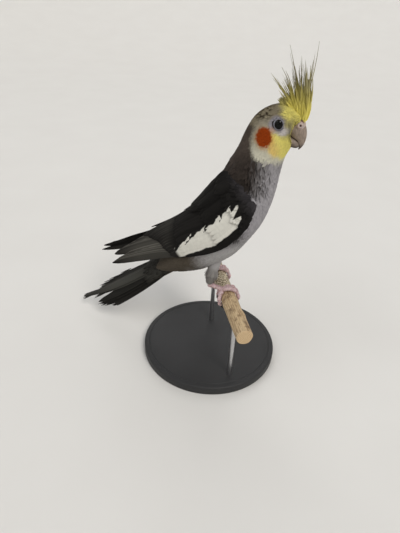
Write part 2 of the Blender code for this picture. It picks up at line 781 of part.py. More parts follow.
def build_stand(finishes):
    """The branch on two rods in a flat round base."""
    middle, along, forward = branch_frame()
    branch = tube("branch", [round_branch(p, 0, 0) for p in (BRANCH_NEAR, BRANCH_FAR)], [BRANCH_RADIUS] * 2,
                  BRANCH_SIDES, finishes["wood"])
    rise = -BIRD_UP
    profile = (
        (BASE_RADIUS, 0.0), (BASE_RADIUS, BASE_THICK - BASE_BEVEL), (BASE_RADIUS - BASE_BEVEL, BASE_THICK),
    )
    points = []
    for radius, z in profile:
        for j in range(BASE_SIDES):
            turn = 2 * math.pi * j / BASE_SIDES
            points.append((radius * math.cos(turn) - BIRD_FORWARD, radius * math.sin(turn), z + rise))
    base = solid("stand_base", points, tube_faces(len(profile), BASE_SIDES), finishes["stand"])
    for place, word in zip(ROD_PLACES, ("near", "far")):
        foot = round_branch(place, 0, 0)
        low, high = rise + BASE_THICK - SOCKET_DEEP, foot[2] - BRANCH_RADIUS + SOCKET_DEEP
        rod = post(f"stand_rod_{word}", foot, low + GAP, high - GAP, ROD_RADIUS, finishes["rod"])
        for target, bottom, top in ((base, low, 0.0), (branch, -20.0, high)):
            hole = post("hole", foot, bottom, top, ROD_RADIUS + GAP, None)
            apply_boolean(target, "DIFFERENCE", tool=hole)
            bpy.data.objects.remove(hole)
        smooth(rod)
    for piece in (branch, base):
        smooth(piece)
    return branch


def post(name, foot, low, high, radius, finish):
    """An upright round rod at the foot's place, between two heights."""
    points = []
    for z in (low, high):
        for j in range(ROD_SIDES):
            turn = 2 * math.pi * j / ROD_SIDES
            points.append((foot[0] + radius * math.cos(turn), foot[1] + radius * math.sin(turn), z))
    return solid(name, points, tube_faces(2, ROD_SIDES), finish)


def main():
    for old in list(bpy.data.objects):
        bpy.data.objects.remove(old)
    finishes = {
        "grey": material("grey_plumage", (0.22, 0.21, 0.22)),
        "yellow": material("yellow_plumage", (0.75, 0.66, 0.16)),
        "dark": material("dark_feathers", (0.035, 0.033, 0.033), 0.55),
        "crest": material("crest_feathers", (0.55, 0.52, 0.16)),
        "bill": material("bill_horn", (0.42, 0.36, 0.34), 0.4),
        "skin": material("bare_skin", (0.52, 0.38, 0.38), 0.5),
        "eye": material("eye", (0.01, 0.008, 0.008), 0.08),
        "claw": material("claw_horn", (0.08, 0.06, 0.06), 0.4),
        "wood": material("branch_wood", (0.52, 0.37, 0.20), 0.75),
        "stand": material("stand_black", (0.03, 0.03, 0.03), 0.5),
        "rod": material("rod_steel", (0.55, 0.55, 0.56), 0.35, 1.0),
    }
    torso = body_piece("torso", 0.0, NECK_RIB, TORSO_RINGS, finishes["grey"], (False, True))
    neck = body_piece("neck", NECK_RIB, HEAD_RIB, NECK_RINGS, finishes["grey"])
    head, cere = build_head(finishes)
    build_crest(finishes["crest"], head)
    wings = []
    for word, side in (("right", -1), ("left", 1)):
        wings.append(build_wing(word, side, finishes["dark"], torso, neck))
    build_tail(finishes["dark"], torso, wings)
    branch = build_stand(finishes)
    for word in ("right", "left"):
        build_foot(word, finishes, torso, branch)
    for piece in (torso, neck):
        smooth(piece)


main()
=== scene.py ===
"""The looks of the cockatiel: its skin, its feathers, its bill, eyes and feet, and its branch and stand.

Sizes are millimetres in the bird's own frame, as in part.py: x runs the way the bird faces, y to its left and
z up, from a zero in its middle plane just under its belly. metres() turns them into the part's frame.
"""

import math

import bpy
import numpy as np
from mathutils import Matrix, Vector, noise
from mathutils.bvhtree import BVHTree


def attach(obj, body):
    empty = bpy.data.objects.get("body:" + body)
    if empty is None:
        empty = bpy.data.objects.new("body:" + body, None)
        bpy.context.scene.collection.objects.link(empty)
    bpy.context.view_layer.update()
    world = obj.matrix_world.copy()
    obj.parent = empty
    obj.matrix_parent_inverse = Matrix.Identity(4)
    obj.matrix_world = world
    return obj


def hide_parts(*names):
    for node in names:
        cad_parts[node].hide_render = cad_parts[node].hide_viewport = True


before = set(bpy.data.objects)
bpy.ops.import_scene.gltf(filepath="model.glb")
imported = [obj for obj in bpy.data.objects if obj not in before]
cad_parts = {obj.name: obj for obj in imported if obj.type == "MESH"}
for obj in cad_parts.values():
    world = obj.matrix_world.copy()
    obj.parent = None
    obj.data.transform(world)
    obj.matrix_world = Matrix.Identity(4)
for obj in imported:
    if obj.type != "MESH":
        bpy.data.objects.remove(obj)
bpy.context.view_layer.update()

MM = 0.001
BIRD_UP = 68.0
BIRD_FORWARD = 14.0
BASE_RADIUS = 60.0
BASE_THICK = 8.0
BRANCH_TOP = (-4.2, 0.0, 9.4)
BRANCH_RADIUS = 6.4
BRANCH_YAW = math.radians(32)
BRANCH_NEAR, BRANCH_FAR = -66.0, 48.0

# The body's ribs from the tail root to the face: the point on the back, the point on the belly, the half
# width, and how far the widest place is shifted to the back or the belly.
RIBS = np.array(
    [
        (-67.0, 9.0, -63.0, 4.5, 5.5, 0.0),
        (-61.0, 19.0, -55.0, 6.0, 9.5, 0.0),
        (-54.0, 31.0, -46.0, 9.0, 13.5, 0.0),
        (-47.0, 44.0, -35.0, 13.0, 18.0, -0.03),
        (-40.0, 57.0, -21.0, 19.5, 21.2, -0.06),
        (-33.0, 69.0, -9.0, 28.0, 23.4, -0.06),
        (-26.0, 80.0, 3.5, 39.0, 24.5, -0.06),
        (-19.5, 90.0, 12.5, 52.0, 23.5, -0.03),
        (-13.5, 99.5, 20.5, 66.5, 21.5, 0.0),
        (-8.5, 108.5, 25.0, 81.0, 19.5, 0.0),
        (-4.5, 117.0, 27.5, 95.0, 17.4, 0.0),
        (-1.0, 124.6, 28.6, 106.0, 15.8, 0.0),
        (1.5, 132.0, 29.5, 114.0, 15.2, -0.10),
        (5.0, 139.0, 30.5, 119.0, 15.6, -0.12),
        (9.5, 145.0, 31.8, 122.5, 16.0, -0.10),
        (15.5, 149.6, 33.0, 125.0, 15.8, -0.05),
        (22.5, 152.0, 34.0, 127.2, 14.8, 0.0),
        (29.5, 152.0, 34.8, 129.2, 12.8, 0.05),
        (35.5, 149.5, 35.4, 131.2, 10.0, 0.05),
        (38.8, 146.0, 36.0, 133.6, 6.8, 0.0),
    ]
)
FULLNESS = 0.90

# How deep the skin and the coat's roots lie, by rib. The face draws back at the bill's root.
DEPTH_RIBS = (0, 9, 12, 19)
COAT_DEPTHS = (1.7, 1.6, 1.1, 0.8)
FACE_DRAWN = 3.4

# The coat by rib: how far apart its feathers are, how long, and their half width.
COAT_RIBS = (0, 6, 9, 11, 13, 15, 18, 19)
COAT_SPACING = (1.6, 1.45, 1.05, 0.84, 0.64, 0.54, 0.44, 0.42)
COAT_LENGTH = (9.0, 8.0, 6.6, 5.0, 3.7, 3.0, 2.1, 1.8)
COAT_HALF = (1.6, 1.45, 1.02, 0.78, 0.52, 0.42, 0.31, 0.28)
STAND_RIBS = (0, 8, 9.5, 12, 19)
COAT_STAND = (0.15, 0.18, 0.35, 0.25, 0.1)
FINE_COAT_FROM = 12.2
# Up to which rib the folded wings can cover the body, and how far off it they may lie.
WINGS_TO_RIB = 10.5
WINGS_WITHIN = 11.0

EYE_PLACE = (25.4, 11.1, 142.8)
EYE_OUT = (0.25, 1.0, 0.08)
EYE_RADIUS = 4.3
LID_RING = 3.1
CERE_PLACE = (37.5, 0.0, 141.5)
NOSTRIL = (0.8, 4.0, 0.3)

# The folded wing's rows from its bend to past its tip: lower edge, upper edge, and the bulge between them.
WING_ROWS = np.array(
    [
        (20.0, 19.0, 90.0, 9.5, 16.0, 102.0, 2.0),
        (17.5, 22.6, 78.0, -4.5, 14.0, 103.5, 4.0),
        (8.0, 26.0, 61.5, -15.0, 11.0, 94.0, 6.0),
        (-10.0, 27.0, 48.5, -27.5, 7.6, 78.5, 7.0),
        (-33.0, 24.0, 37.5, -42.5, 5.6, 64.0, 5.8),
        (-57.0, 18.0, 26.5, -60.0, 5.2, 49.5, 3.6),
        (-82.0, 13.0, 14.5, -83.0, 5.6, 34.0, 2.0),
        (-106.0, 10.2, 3.0, -107.0, 6.4, 19.0, 1.0),
        (-130.0, 8.6, -8.0, -131.0, 6.8, 6.0, 0.4),
    ]
)
WING_CORE_END = 5.0
WING_CORE_DEEP = 6.0
LEFT_REACH = np.array([0.95, 0.28])
LEFT_LIFT = 0.9

TAIL_ROOT = (-55.0, 0.0, 18.5)
TAIL_SLOPE = math.radians(39.5)
TAIL_ROLL = math.radians(34)
TAIL_LENGTHS = (124.0, 104.0, 101.0, 97.0, 91.0, 82.0)
TAIL_ROOT_STEP = 1.5
TAIL_TIP_STEP = 2.7

FOOT_PLACES = {"right": -14.6, "left": 16.6}
TOE_RADIUS = 1.7
TOES = (
    ("outer_front", -2.8, -22.0, 108.0, 1.2),
    ("inner_front", 2.0, -22.0, 80.0, 1.2),
    ("outer_back", -5.0, -40.0, -128.0, 1.2),
    ("inner_back", 1.6, -42.0, -84.0, 1.1),
)
CLAW_LENGTH = 5.0
PALM = -34.0
HEELS = {"right": (-16.2, -0.6, 0.9), "left": (-12.0, 0.5, 3.4)}
THIGH_TOPS = {"right": (-15.5, 2.6, 12.0), "left": (-8.5, -2.6, 10.0)}
THIGH_RADII = (6.6, 4.9, 3.3, 2.1)

SIDES = (("right", -1), ("left", 1))
rng = np.random.default_rng(7)


# Numbers and curves.


def metres(points):
    """Points in the bird's own millimetres as metres of the part's frame."""
    return (np.asarray(points, float) + (BIRD_FORWARD, 0, BIRD_UP)) * MM


def unit(v):
    """Vectors made one long."""
    v = np.asarray(v, float)
    return v / np.maximum(np.linalg.norm(v, axis=-1, keepdims=True), 1e-9)


def spline(rows, s):
    """The smooth curve through the rows, at places s counted in rows."""
    rows = np.asarray(rows, float)
    if rows.ndim == 1:
        return spline(rows[:, None], s)[..., 0]
    last = len(rows) - 1
    s = np.clip(np.asarray(s, float), 0, last)
    i = np.minimum(s.astype(int), last - 1)
    t = (s - i)[..., None]
    padded = np.vstack([2 * rows[0] - rows[1], rows, 2 * rows[-1] - rows[-2]])
    p0, p1, p2, p3 = (padded[i + k] for k in range(4))
    return 0.5 * (
        2 * p1 + (p2 - p0) * t + (2 * p0 - 5 * p1 + 4 * p2 - p3) * t**2 + (3 * p1 - p0 - 3 * p2 + p3) * t**3
    )


def angles(count, shift=0):
    """This many angles, evenly round a circle."""
    return (np.arange(count) + shift) * 2 * math.pi / count


def turn_share(turn):
    """Where an angle lies across the OFBake map."""
    return 0.01 + 0.98 * (turn / (2 * math.pi)) % 1.0


def mirrored(point, side):
    """A left point, or with side -1 the same one on the right."""
    return np.array([point[0], point[1] * side, point[2]])


def soft_step(value, low, high):
    """0 up to low, 1 from high on, and smooth between them."""
    t = np.clip((value - low) / (high - low), 0, 1)
    return t * t * (3 - 2 * t)


# The surfaces that feathers grow on. Each takes two places on the surface and a height over it.


def body_surface(s, turn, height):
    """The body at rib s, this far round from the middle of the back over the right side."""
    s, turn = np.asarray(s, float), np.asarray(turn, float)

    def point(s, turn):
        back_x, back_z, belly_x, belly_z, half, shift = np.moveaxis(spline(RIBS, s), -1, 0)
        sine, cosine = np.sin(turn), np.cos(turn)
        along = cosine + shift * sine**2
        x = (back_x + belly_x) / 2 + (back_x - belly_x) / 2 * along
        z = (back_z + belly_z) / 2 + (back_z - belly_z) / 2 * along
        return np.stack([x, -half * np.sign(sine) * np.abs(sine) ** FULLNESS, z], -1)

    inside = np.clip(s, 0.03, len(RIBS) - 1.03)
    ahead = point(inside + 0.02, turn) - point(inside - 0.02, turn)
    # Just off the middle of the back and belly the side's curve is too steep to take a normal from.
    safe = np.where(np.abs(np.sin(turn)) < 0.05, turn + 0.05, turn)
    round_it = point(inside, safe + 0.04) - point(inside, safe - 0.04)
    normal = unit(np.cross(ahead, round_it))
    normal *= np.sign((normal * (point(inside, turn) - point(inside, turn + math.pi))).sum(-1, keepdims=True))
    return point(s, turn) + normal * np.asarray(height, float)[..., None]


def face_retreat(s, turn):
    """How far the face has drawn back here to let the bill out: 0 on the head, 1 at the bill's root."""
    sideways = soft_step(np.abs(np.remainder(turn + math.pi, 2 * math.pi) - math.pi), 0.55, 1.15)
    return sideways * soft_step(s, 17.2, 18.1)


def wing_row(s):
    """The wing's row at s, which may be past the last one."""
    last = len(WING_ROWS) - 1
    past = np.maximum(np.asarray(s, float) - last, 0)[..., None]
    return spline(WING_ROWS, s) + (WING_ROWS[-1] - WING_ROWS[-2]) * past


def wing_surface(side):
    """The outer face of a wing, by row and share of the way from its lower edge up."""

    def surface(s, v, height):
        s, v, height = np.broadcast_arrays(np.asarray(s, float), v, height)
        row = wing_row(s)
        low, high, bulge = row[..., :3], row[..., 3:6], row[..., 6]
        along = unit(wing_row(s - 0.1)[..., :3] - wing_row(s + 0.1)[..., :3])
        out = unit(-np.cross(along, unit(high - low)))
        point = low + (high - low) * v[..., None] + out * (bulge * 4 * v * (1 - v) + height)[..., None]
        if side > 0:
            point[..., 2] += LEFT_LIFT * np.maximum(0, s - 4.5) ** 1.5
        return point * (1, side, 1)

    return surface


def tail_point(reach, across, rise):
    """A point of the tail this far from its root, towards its left side, and out of its upper face."""
    reach, across, rise = np.broadcast_arrays(np.asarray(reach, float), across, rise)
    slope = TAIL_SLOPE + math.radians(4) * (0.5 - reach / TAIL_LENGTHS[0])
    zero = np.zeros_like(slope)
    along = np.stack([-np.cos(slope), zero, -np.sin(slope)], -1)
    face = np.stack([-np.sin(slope), zero, np.cos(slope)], -1)
    left = np.array([0.0, 1.0, 0.0])
    turned_left = left * math.cos(TAIL_ROLL) + face * math.sin(TAIL_ROLL)
    turned_face = face * math.cos(TAIL_ROLL) - left * math.sin(TAIL_ROLL)
    middle = np.array(TAIL_ROOT) + along * reach[..., None]
    return middle + turned_left * across[..., None] + turned_face * rise[..., None]


def rump_surface(reach, turn, height):
    """The fleshy root of the tail, this far from its start and this far round from its left side."""
    t = (np.asarray(reach, float) + 4) / 44
    across = (9.5 + 1.5 * t + height) * np.cos(turn)
    rise = (9.0 - 6.6 * t + height) * np.sin(turn) - 5.0 * (1 - t) - 2.4 * t
    return tail_point(reach, across, rise)


def branch_frame():
    """The branch's middle under the feet, the way it runs, and the level way across it."""
    along = np.array([-math.sin(BRANCH_YAW), math.cos(BRANCH_YAW), 0])
    forward = np.array([math.cos(BRANCH_YAW), math.sin(BRANCH_YAW), 0])
    return np.array(BRANCH_TOP) - (0, 0, BRANCH_RADIUS), along, forward


def round_branch(place, degrees, radius):
    """A point this far along the branch, at this angle from its top, forwards being positive."""
    middle, along, forward = branch_frame()
    turn = math.radians(degrees)
    return middle + along * place + radius * (forward * math.sin(turn) + np.array([0, 0, math.cos(turn)]))


def leg_points(word):
    """The line down the middle of a thigh, to the heel."""
    spot = round_branch(FOOT_PLACES[word], 0, BRANCH_RADIUS)
    top = spot + THIGH_TOPS[word]
    lower = spot + HEELS[word] + (0, 0, 2.0)
    return np.array([top + (top - lower) * 1.5, top, lower + (top - lower) * 0.4, lower])


def thigh_surface(word):
    """The thigh, from its top (0) to the heel (1), and round it."""
    line = leg_points(word)

    def surface(share, turn, height):
        share, turn, height = np.broadcast_arrays(np.asarray(share, float), turn, height)
        centre = spline(line, share * 3)
        radius = spline(THIGH_RADII, share * 3) + height
        along = unit(spline(line, share * 3 + 0.05) - spline(line, share * 3 - 0.05))
        sideways = unit(np.cross(along, (0, 1, 0)))
        up = np.cross(sideways, along)
        return centre + radius[..., None] * (
            sideways * np.cos(turn)[..., None] + up * np.sin(turn)[..., None]
        )

    return surface


# Meshes.


def write_mesh(name, points, faces, attributes=None, uv=None, smooth=50):
    """An object from points in millimetres and arrays of faces, each with its own number of corners."""
    mesh = bpy.data.meshes.new(name)
    points = metres(points).astype(np.float32)
    mesh.vertices.add(len(points))
    mesh.vertices.foreach_set("co", points.ravel())
    corners = np.concatenate([np.asarray(f, np.int32).ravel() for f in faces])
    sizes = np.concatenate([np.full(len(f), np.asarray(f).shape[1], np.int32) for f in faces])
    mesh.loops.add(len(corners))
    mesh.loops.foreach_set("vertex_index", corners)
    mesh.polygons.add(len(sizes))
    mesh.polygons.foreach_set("loop_start", np.concatenate([[0], np.cumsum(sizes)[:-1]]).astype(np.int32))
    for key, values in (attributes or {}).items():
        layer = mesh.attributes.new(key, "FLOAT_VECTOR", "POINT")
        layer.data.foreach_set("vector", np.asarray(values, np.float32).ravel())
    if uv is not None:
        layer = mesh.uv_layers.new(name="OFBake")
        layer.data.foreach_set("uv", np.asarray(uv, np.float32)[corners].ravel())
    mesh.update(calc_edges=True)
    mesh.validate()
    mesh.shade_smooth()
    if smooth < 180:
        mesh.set_sharp_from_angle(angle=math.radians(smooth))
    made = bpy.data.objects.new(name, mesh)
    bpy.context.scene.collection.objects.link(made)
    return made


def grid_faces(rows, columns):
    """Quads of a grid of points, whose rows close on themselves."""
    i, j = np.meshgrid(np.arange(rows - 1), np.arange(columns), indexing="ij")
    k = (j + 1) % columns
    quads = np.stack([i * columns + j, i * columns + k, (i + 1) * columns + k, (i + 1) * columns + j], -1)
    return quads.reshape(-1, 4)


def outwards(made):
    """Turns a closed mesh's faces outwards."""
    mesh = made.data
    mesh.calc_loop_triangles()
    corners = np.zeros(len(mesh.loop_triangles) * 3, np.int32)
    mesh.loop_triangles.foreach_get("vertices", corners)
    places = np.zeros(len(mesh.vertices) * 3, np.float32)
    mesh.vertices.foreach_get("co", places)
    corners = places.reshape(-1, 3).astype(float)[corners].reshape(-1, 3, 3)
    if np.linalg.det(corners).sum() < 0:
        mesh.flip_normals()
    return made


def closed_grid(name, points, smooth=50):
    """A closed mesh from rings of points, with a face over its first ring and its last."""
    points = np.asarray(points, float)
    rows, columns = points.shape[:2]
    first = np.arange(columns)[None, ::-1]
    last = np.arange((rows - 1) * columns, rows * columns)[None]
    faces = [grid_faces(rows, columns), first, last]
    return outwards(write_mesh(name, points.reshape(-1, 3), faces, smooth=smooth))


def tube(name, centres, radii, sides, lump=None):
    """A closed round tube. lump(distance along, angle) gives how far each point stands out from it."""
    centres = np.asarray(centres, float)
    along = unit(np.gradient(centres, axis=0))
    side = unit(np.cross(along[0], (0, 0, 1)))
    turn = angles(sides)
    reach = np.concatenate([[0], np.cumsum(np.linalg.norm(np.diff(centres, axis=0), axis=1))])
    rings = []
    for i, centre in enumerate(centres):
        side = unit(side - along[i] * (side @ along[i]))
        up = np.cross(side, along[i])
        radius = radii[i] + (lump(reach[i], turn) if lump else np.zeros(sides))
        rings.append(centre + radius[:, None] * (side * np.cos(turn)[:, None] + up * np.sin(turn)[:, None]))
    return closed_grid(name, rings)


def ball(name, centre, radii, rings, sides, turn=None):
    """An ellipsoid, turned by a matrix."""
    down = np.linspace(0.02, math.pi - 0.02, rings)[:, None]
    around = angles(sides)[None]
    points = np.stack(
        [np.sin(down) * np.cos(around), np.sin(down) * np.sin(around), np.cos(down) + 0 * around], -1
    )
    points = points.reshape(-1, 3) * radii
    if turn is not None:
        points = points @ np.asarray(turn).T
    return closed_grid(name, (points + np.asarray(centre)).reshape(rings, sides, 3), 180)


def fuse(name, parts, voxel, rounds):
    """One closed mesh of all the parts, remeshed and smoothed."""
    bpy.ops.object.select_all(action="DESELECT")
    for part in parts:
        part.select_set(True)
    bpy.context.view_layer.objects.active = parts[0]
    bpy.ops.object.join()
    made = parts[0]
    made.name = made.data.name = name
    remesh = made.modifiers.new("remesh", "REMESH")
    remesh.mode = "VOXEL"
    remesh.voxel_size = voxel * MM
    even = made.modifiers.new("smooth", "SMOOTH")
    even.factor = 0.5
    even.iterations = rounds
    graph = bpy.context.evaluated_depsgraph_get()
    mesh = bpy.data.meshes.new_from_object(made.evaluated_get(graph))
    made.modifiers.clear()
    made.data = mesh
    mesh.shade_smooth()
    return made


def places_of(made):
    """A mesh's points in the bird's frame, in millimetres."""
    places = np.zeros(len(made.data.vertices) * 3, np.float32)
    made.data.vertices.foreach_get("co", places)
    return places.reshape(-1, 3).astype(float) / MM - (BIRD_FORWARD, 0, BIRD_UP)


def set_attribute(made, key, values):
    """A vector for each point of an object, which its finish reads by this key."""
    layer = made.data.attributes.new(key, "FLOAT_VECTOR", "POINT")
    layer.data.foreach_set("vector", np.asarray(values, np.float32).ravel())


# Feathers: closed vanes with a shaft line, made many at a time.

PIECE_TRIANGLES = 190000
NEARLY_FULL = 185000
VANE_CREASE = 60
PATCH_HALF = 0.0015
TUFT_RING = np.array([(-1, 0), (0, 1), (1, 0)], float)


def vane_ring(across):
    """Points round a flat vane's section: its upper face from left to right, then its lower face back."""
    top = np.linspace(-1, 1, across)
    upper = [(u, 0.0 if abs(u) == 1 else 1.0) for u in top]
    return np.array(upper + [(u, -1.0) for u in top[-2:0:-1]])


def vanes(surface, root, tip, half, rise, stations, shape, ring=TUFT_RING, thick=0.12, camber=0.15, lean=0.0,
          web=0.0, fray=0.0, follow=1.0, steps=(0.02, 0.02), curve=0.6, fold=None, charted=False):
    """Feathers along straight lines on a surface's two places, from root to tip.

    half is each one's half width, rise its height over the surface at root and tip, lean how far it is
    turned about its shaft, web how much wider its right web is, fray how ragged its edges are, and follow how
    much of its markings' place moves along it. Where it is charted, fold starts with each point's own place
    on the surface.
    """
    count, t = len(root), np.asarray(stations, float)
    place = root[:, None] + (tip - root)[:, None] * t[None, :, None]
    a, b = place[..., 0], place[..., 1]
    rise = np.broadcast_to(np.asarray(rise, float), (count, 2))
    height = rise[:, :1] + (rise[:, 1:] - rise[:, :1]) * t**curve
    spine = surface(a, b, height)
    along = unit(np.gradient(spine, axis=1))
    first = (surface(a + steps[0], b, height) - surface(a - steps[0], b, height)) / (2 * steps[0])
    second = (surface(a, b + steps[1], height) - surface(a, b - steps[1], height)) / (2 * steps[1])
    normal = np.cross(first, second)
    outward = surface(a, b, height + 0.5) - spine
    normal = normal * np.sign((normal * outward).sum(-1, keepdims=True))
    normal = unit(normal - along * (normal * along).sum(-1, keepdims=True))
    side = np.cross(along, normal)
    lean = np.broadcast_to(np.asarray(lean, float).reshape(-1, 1, 1), (count, len(t), 1))
    side, normal = side * np.cos(lean) + normal * np.sin(lean), normal * np.cos(lean) - side * np.sin(lean)
    half = np.broadcast_to(np.asarray(half, float).reshape(-1, 1), (count, 1))
    widths = half * np.asarray(shape)[None]
    u, w = ring[:, 0], ring[:, 1]
    ragged = 1 - fray * rng.random((count, len(t), 2)) * t[None, :, None]
    edge = np.where(u < 0, ragged[..., :1] * (1 - web), ragged[..., 1:] * (1 + web)) * u
    lift = camber * half[..., None] * (1 - u**2) * np.sqrt(np.asarray(shape))[None, :, None] + w * thick / 2
    points = spine[:, :, None] + side[:, :, None] * (edge * widths[..., None])[..., None]
    points += normal[:, :, None] * lift[..., None]
    start = surface(root[:, 0], root[:, 1], rise[:, 0])
    spot = start[:, None] + (spine - start[:, None]) * follow
    shown = np.broadcast_to(spot[:, :, None], points.shape)
    random = rng.random(count)[:, None, None]
    vane = np.stack(np.broadcast_arrays(u[None, None], t[None, :, None], random), -1)
    if fold is None:
        fold = np.zeros((count, len(t), 3))
    fold = np.array(np.broadcast_to(fold[:, :, None], points.shape))
    if charted:
        aside = points - spine[:, :, None]
        for k, tangent in enumerate((first, second)):
            fold[..., k] += (aside * tangent[:, :, None]).sum(-1) / (tangent**2).sum(-1)[:, :, None]
    outward = np.broadcast_to(normal[:, :, None], points.shape)
    return {
        "points": points, "spot": shown, "vane": vane, "fold": fold,
        "normal": outward, "root": root, "along": t, "across": u,
    }


def soften(made, outward, share):
    """Turns a coat's shading this much from its own towards the surface it lies on."""
    mesh = made.data
    own = np.zeros(len(mesh.vertices) * 3, np.float32)
    mesh.vertex_normals.foreach_get("vector", own)
    own = own.reshape(-1, 3)
    facing = (own * outward).sum(-1, keepdims=True) > -0.3
    mesh.normals_split_custom_set_from_vertices(np.where(facing, unit(own + (outward - own) * share), own))


def chart(root, tip, stations, last):
    """Each station's own place on the surface, and one more number that stays the same along the vane."""
    middle = root[:, None] + (tip - root)[:, None] * stations[None, :, None]
    return np.concatenate([middle, np.full((*middle.shape[:2], 1), last)], -1)


def grouped(batches):
    """The batches in groups small enough for a piece, each a list of batch, first vane and last vane."""
    groups, group, total = [], [], 0
    for batch in batches:
        count, k, r, _ = batch["points"].shape
        each = (k - 1) * r * 2 + (r - 2) * 2
        start = 0
        while start < count:
            end = min(count, start + max(1, (PIECE_TRIANGLES - total) // each))
            group.append((batch, start, end))
            total += (end - start) * each
            start = end
            if start < count or total > NEARLY_FULL:
                groups.append(group)
                group, total = [], 0
    return groups + [group] if group else groups


def vane_faces(count, k, r, offset):
    """The quads along count vanes of k rings of r points each, and the faces over their ends."""
    i, j, f = np.arange(k - 1)[:, None], np.arange(r)[None], np.arange(count)[:, None, None]
    n = (j + 1) % r
    corner = f * k * r
    quads = np.stack(
        [corner + i * r + j, corner + i * r + n, corner + (i + 1) * r + n, corner + (i + 1) * r + j], -1
    )
    base = np.arange(count)[:, None] * k * r + offset
    near = base + np.arange(r)[None, ::-1]
    far = base + (k - 1) * r + np.arange(r)[None]
    return quads.reshape(-1, 4) + offset, near, far


def feather_piece(name, batches, finish, slot, unwrap, stands_for=(), soft=0.0):
    """Joined meshes of the batches, riding on the one body. unwrap gives a root's place on the OFBake map."""
    for number, group in enumerate(grouped(batches)):
        columns = {key: [] for key in ("points", "spot", "vane", "fold", "normal")}
        uvs, faces, offset = [], {}, 0
        for batch, start, end in group:
            cut = slice(start, end)
            count, k, r, _ = batch["points"][cut].shape
            for key, column in columns.items():
                column.append(batch[key][cut].reshape(-1, 3))
            across, along = np.broadcast_arrays(batch["across"][None, :], 2 * batch["along"][:, None] - 1)
            patch = unwrap(batch["root"][cut])[:, None, None] + PATCH_HALF * np.stack([across, along], -1)
            uvs.append(patch.reshape(-1, 2))
            quads, first, last = vane_faces(count, k, r, offset)
            faces.setdefault(4, []).append(quads)
            faces.setdefault(r, []).extend((first, last))
            offset += count * k * r
        joined = {key: np.concatenate(column) for key, column in columns.items()}
        piece = write_mesh(
            name if number == 0 else f"{name}_{number + 1}",
            joined["points"],
            [np.concatenate(f) for f in faces.values()],
            {key: joined[key] for key in ("spot", "vane", "fold")},
            np.concatenate(uvs),
            VANE_CREASE,
        )
        if soft:
            soften(piece, joined["normal"], soft)
        settle(piece, finish, slot, *(stands_for if number == 0 else ()))


# Materials: sums of sockets are written as Python.


class Value:
    """A socket of a material's nodes. Arithmetic on it adds Math nodes."""

    def __init__(self, nodes, socket):
        self.nodes = nodes
        self.socket = socket

    def math(self, operation, *values):
        """The result of one Math node."""
        return self.nodes.add("ShaderNodeMath", {"operation": operation}, dict(enumerate(values)))

    def __add__(self, other):
        return self.math("ADD", self, other)

    __radd__ = __add__

    def __sub__(self, other):
        return self.math("SUBTRACT", self, other)

    def __rsub__(self, other):
        return self.math("SUBTRACT", other, self)

    def __mul__(self, other):
        return self.math("MULTIPLY", self, other)

    __rmul__ = __mul__

    def __truediv__(self, other):
        return self.math("DIVIDE", self, other)

    def __pow__(self, other):
        return self.math("POWER", self, other)

    def __abs__(self):
        return self.math("ABSOLUTE", self)

    def at_least(self, other):
        return self.math("MAXIMUM", self, other)

    def sine(self):
        return self.math("SINE", self)

    def step(self, low, high):
        """From 0 to 1, smoothly, as the value goes from low to high."""
        return self.nodes.add(
            "ShaderNodeMapRange",
            {"interpolation_type": "SMOOTHSTEP"},
            {"Value": self, "From Min": low, "From Max": high},
        )

    def xyz(self):
        """A vector's three numbers."""
        node = self.nodes.add("ShaderNodeSeparateXYZ", {}, {0: self}).socket.node
        return [Value(self.nodes, out) for out in node.outputs]

    def scaled(self, factor, offset=(0.0, 0.0, 0.0)):
        """A vector times a number, or times one number for each axis, plus an offset."""
        factor = (factor,) * 3 if np.isscalar(factor) else factor
        return self.nodes.add(
            "ShaderNodeVectorMath", {"operation": "MULTIPLY_ADD"}, {0: self, 1: factor, 2: offset}
        )


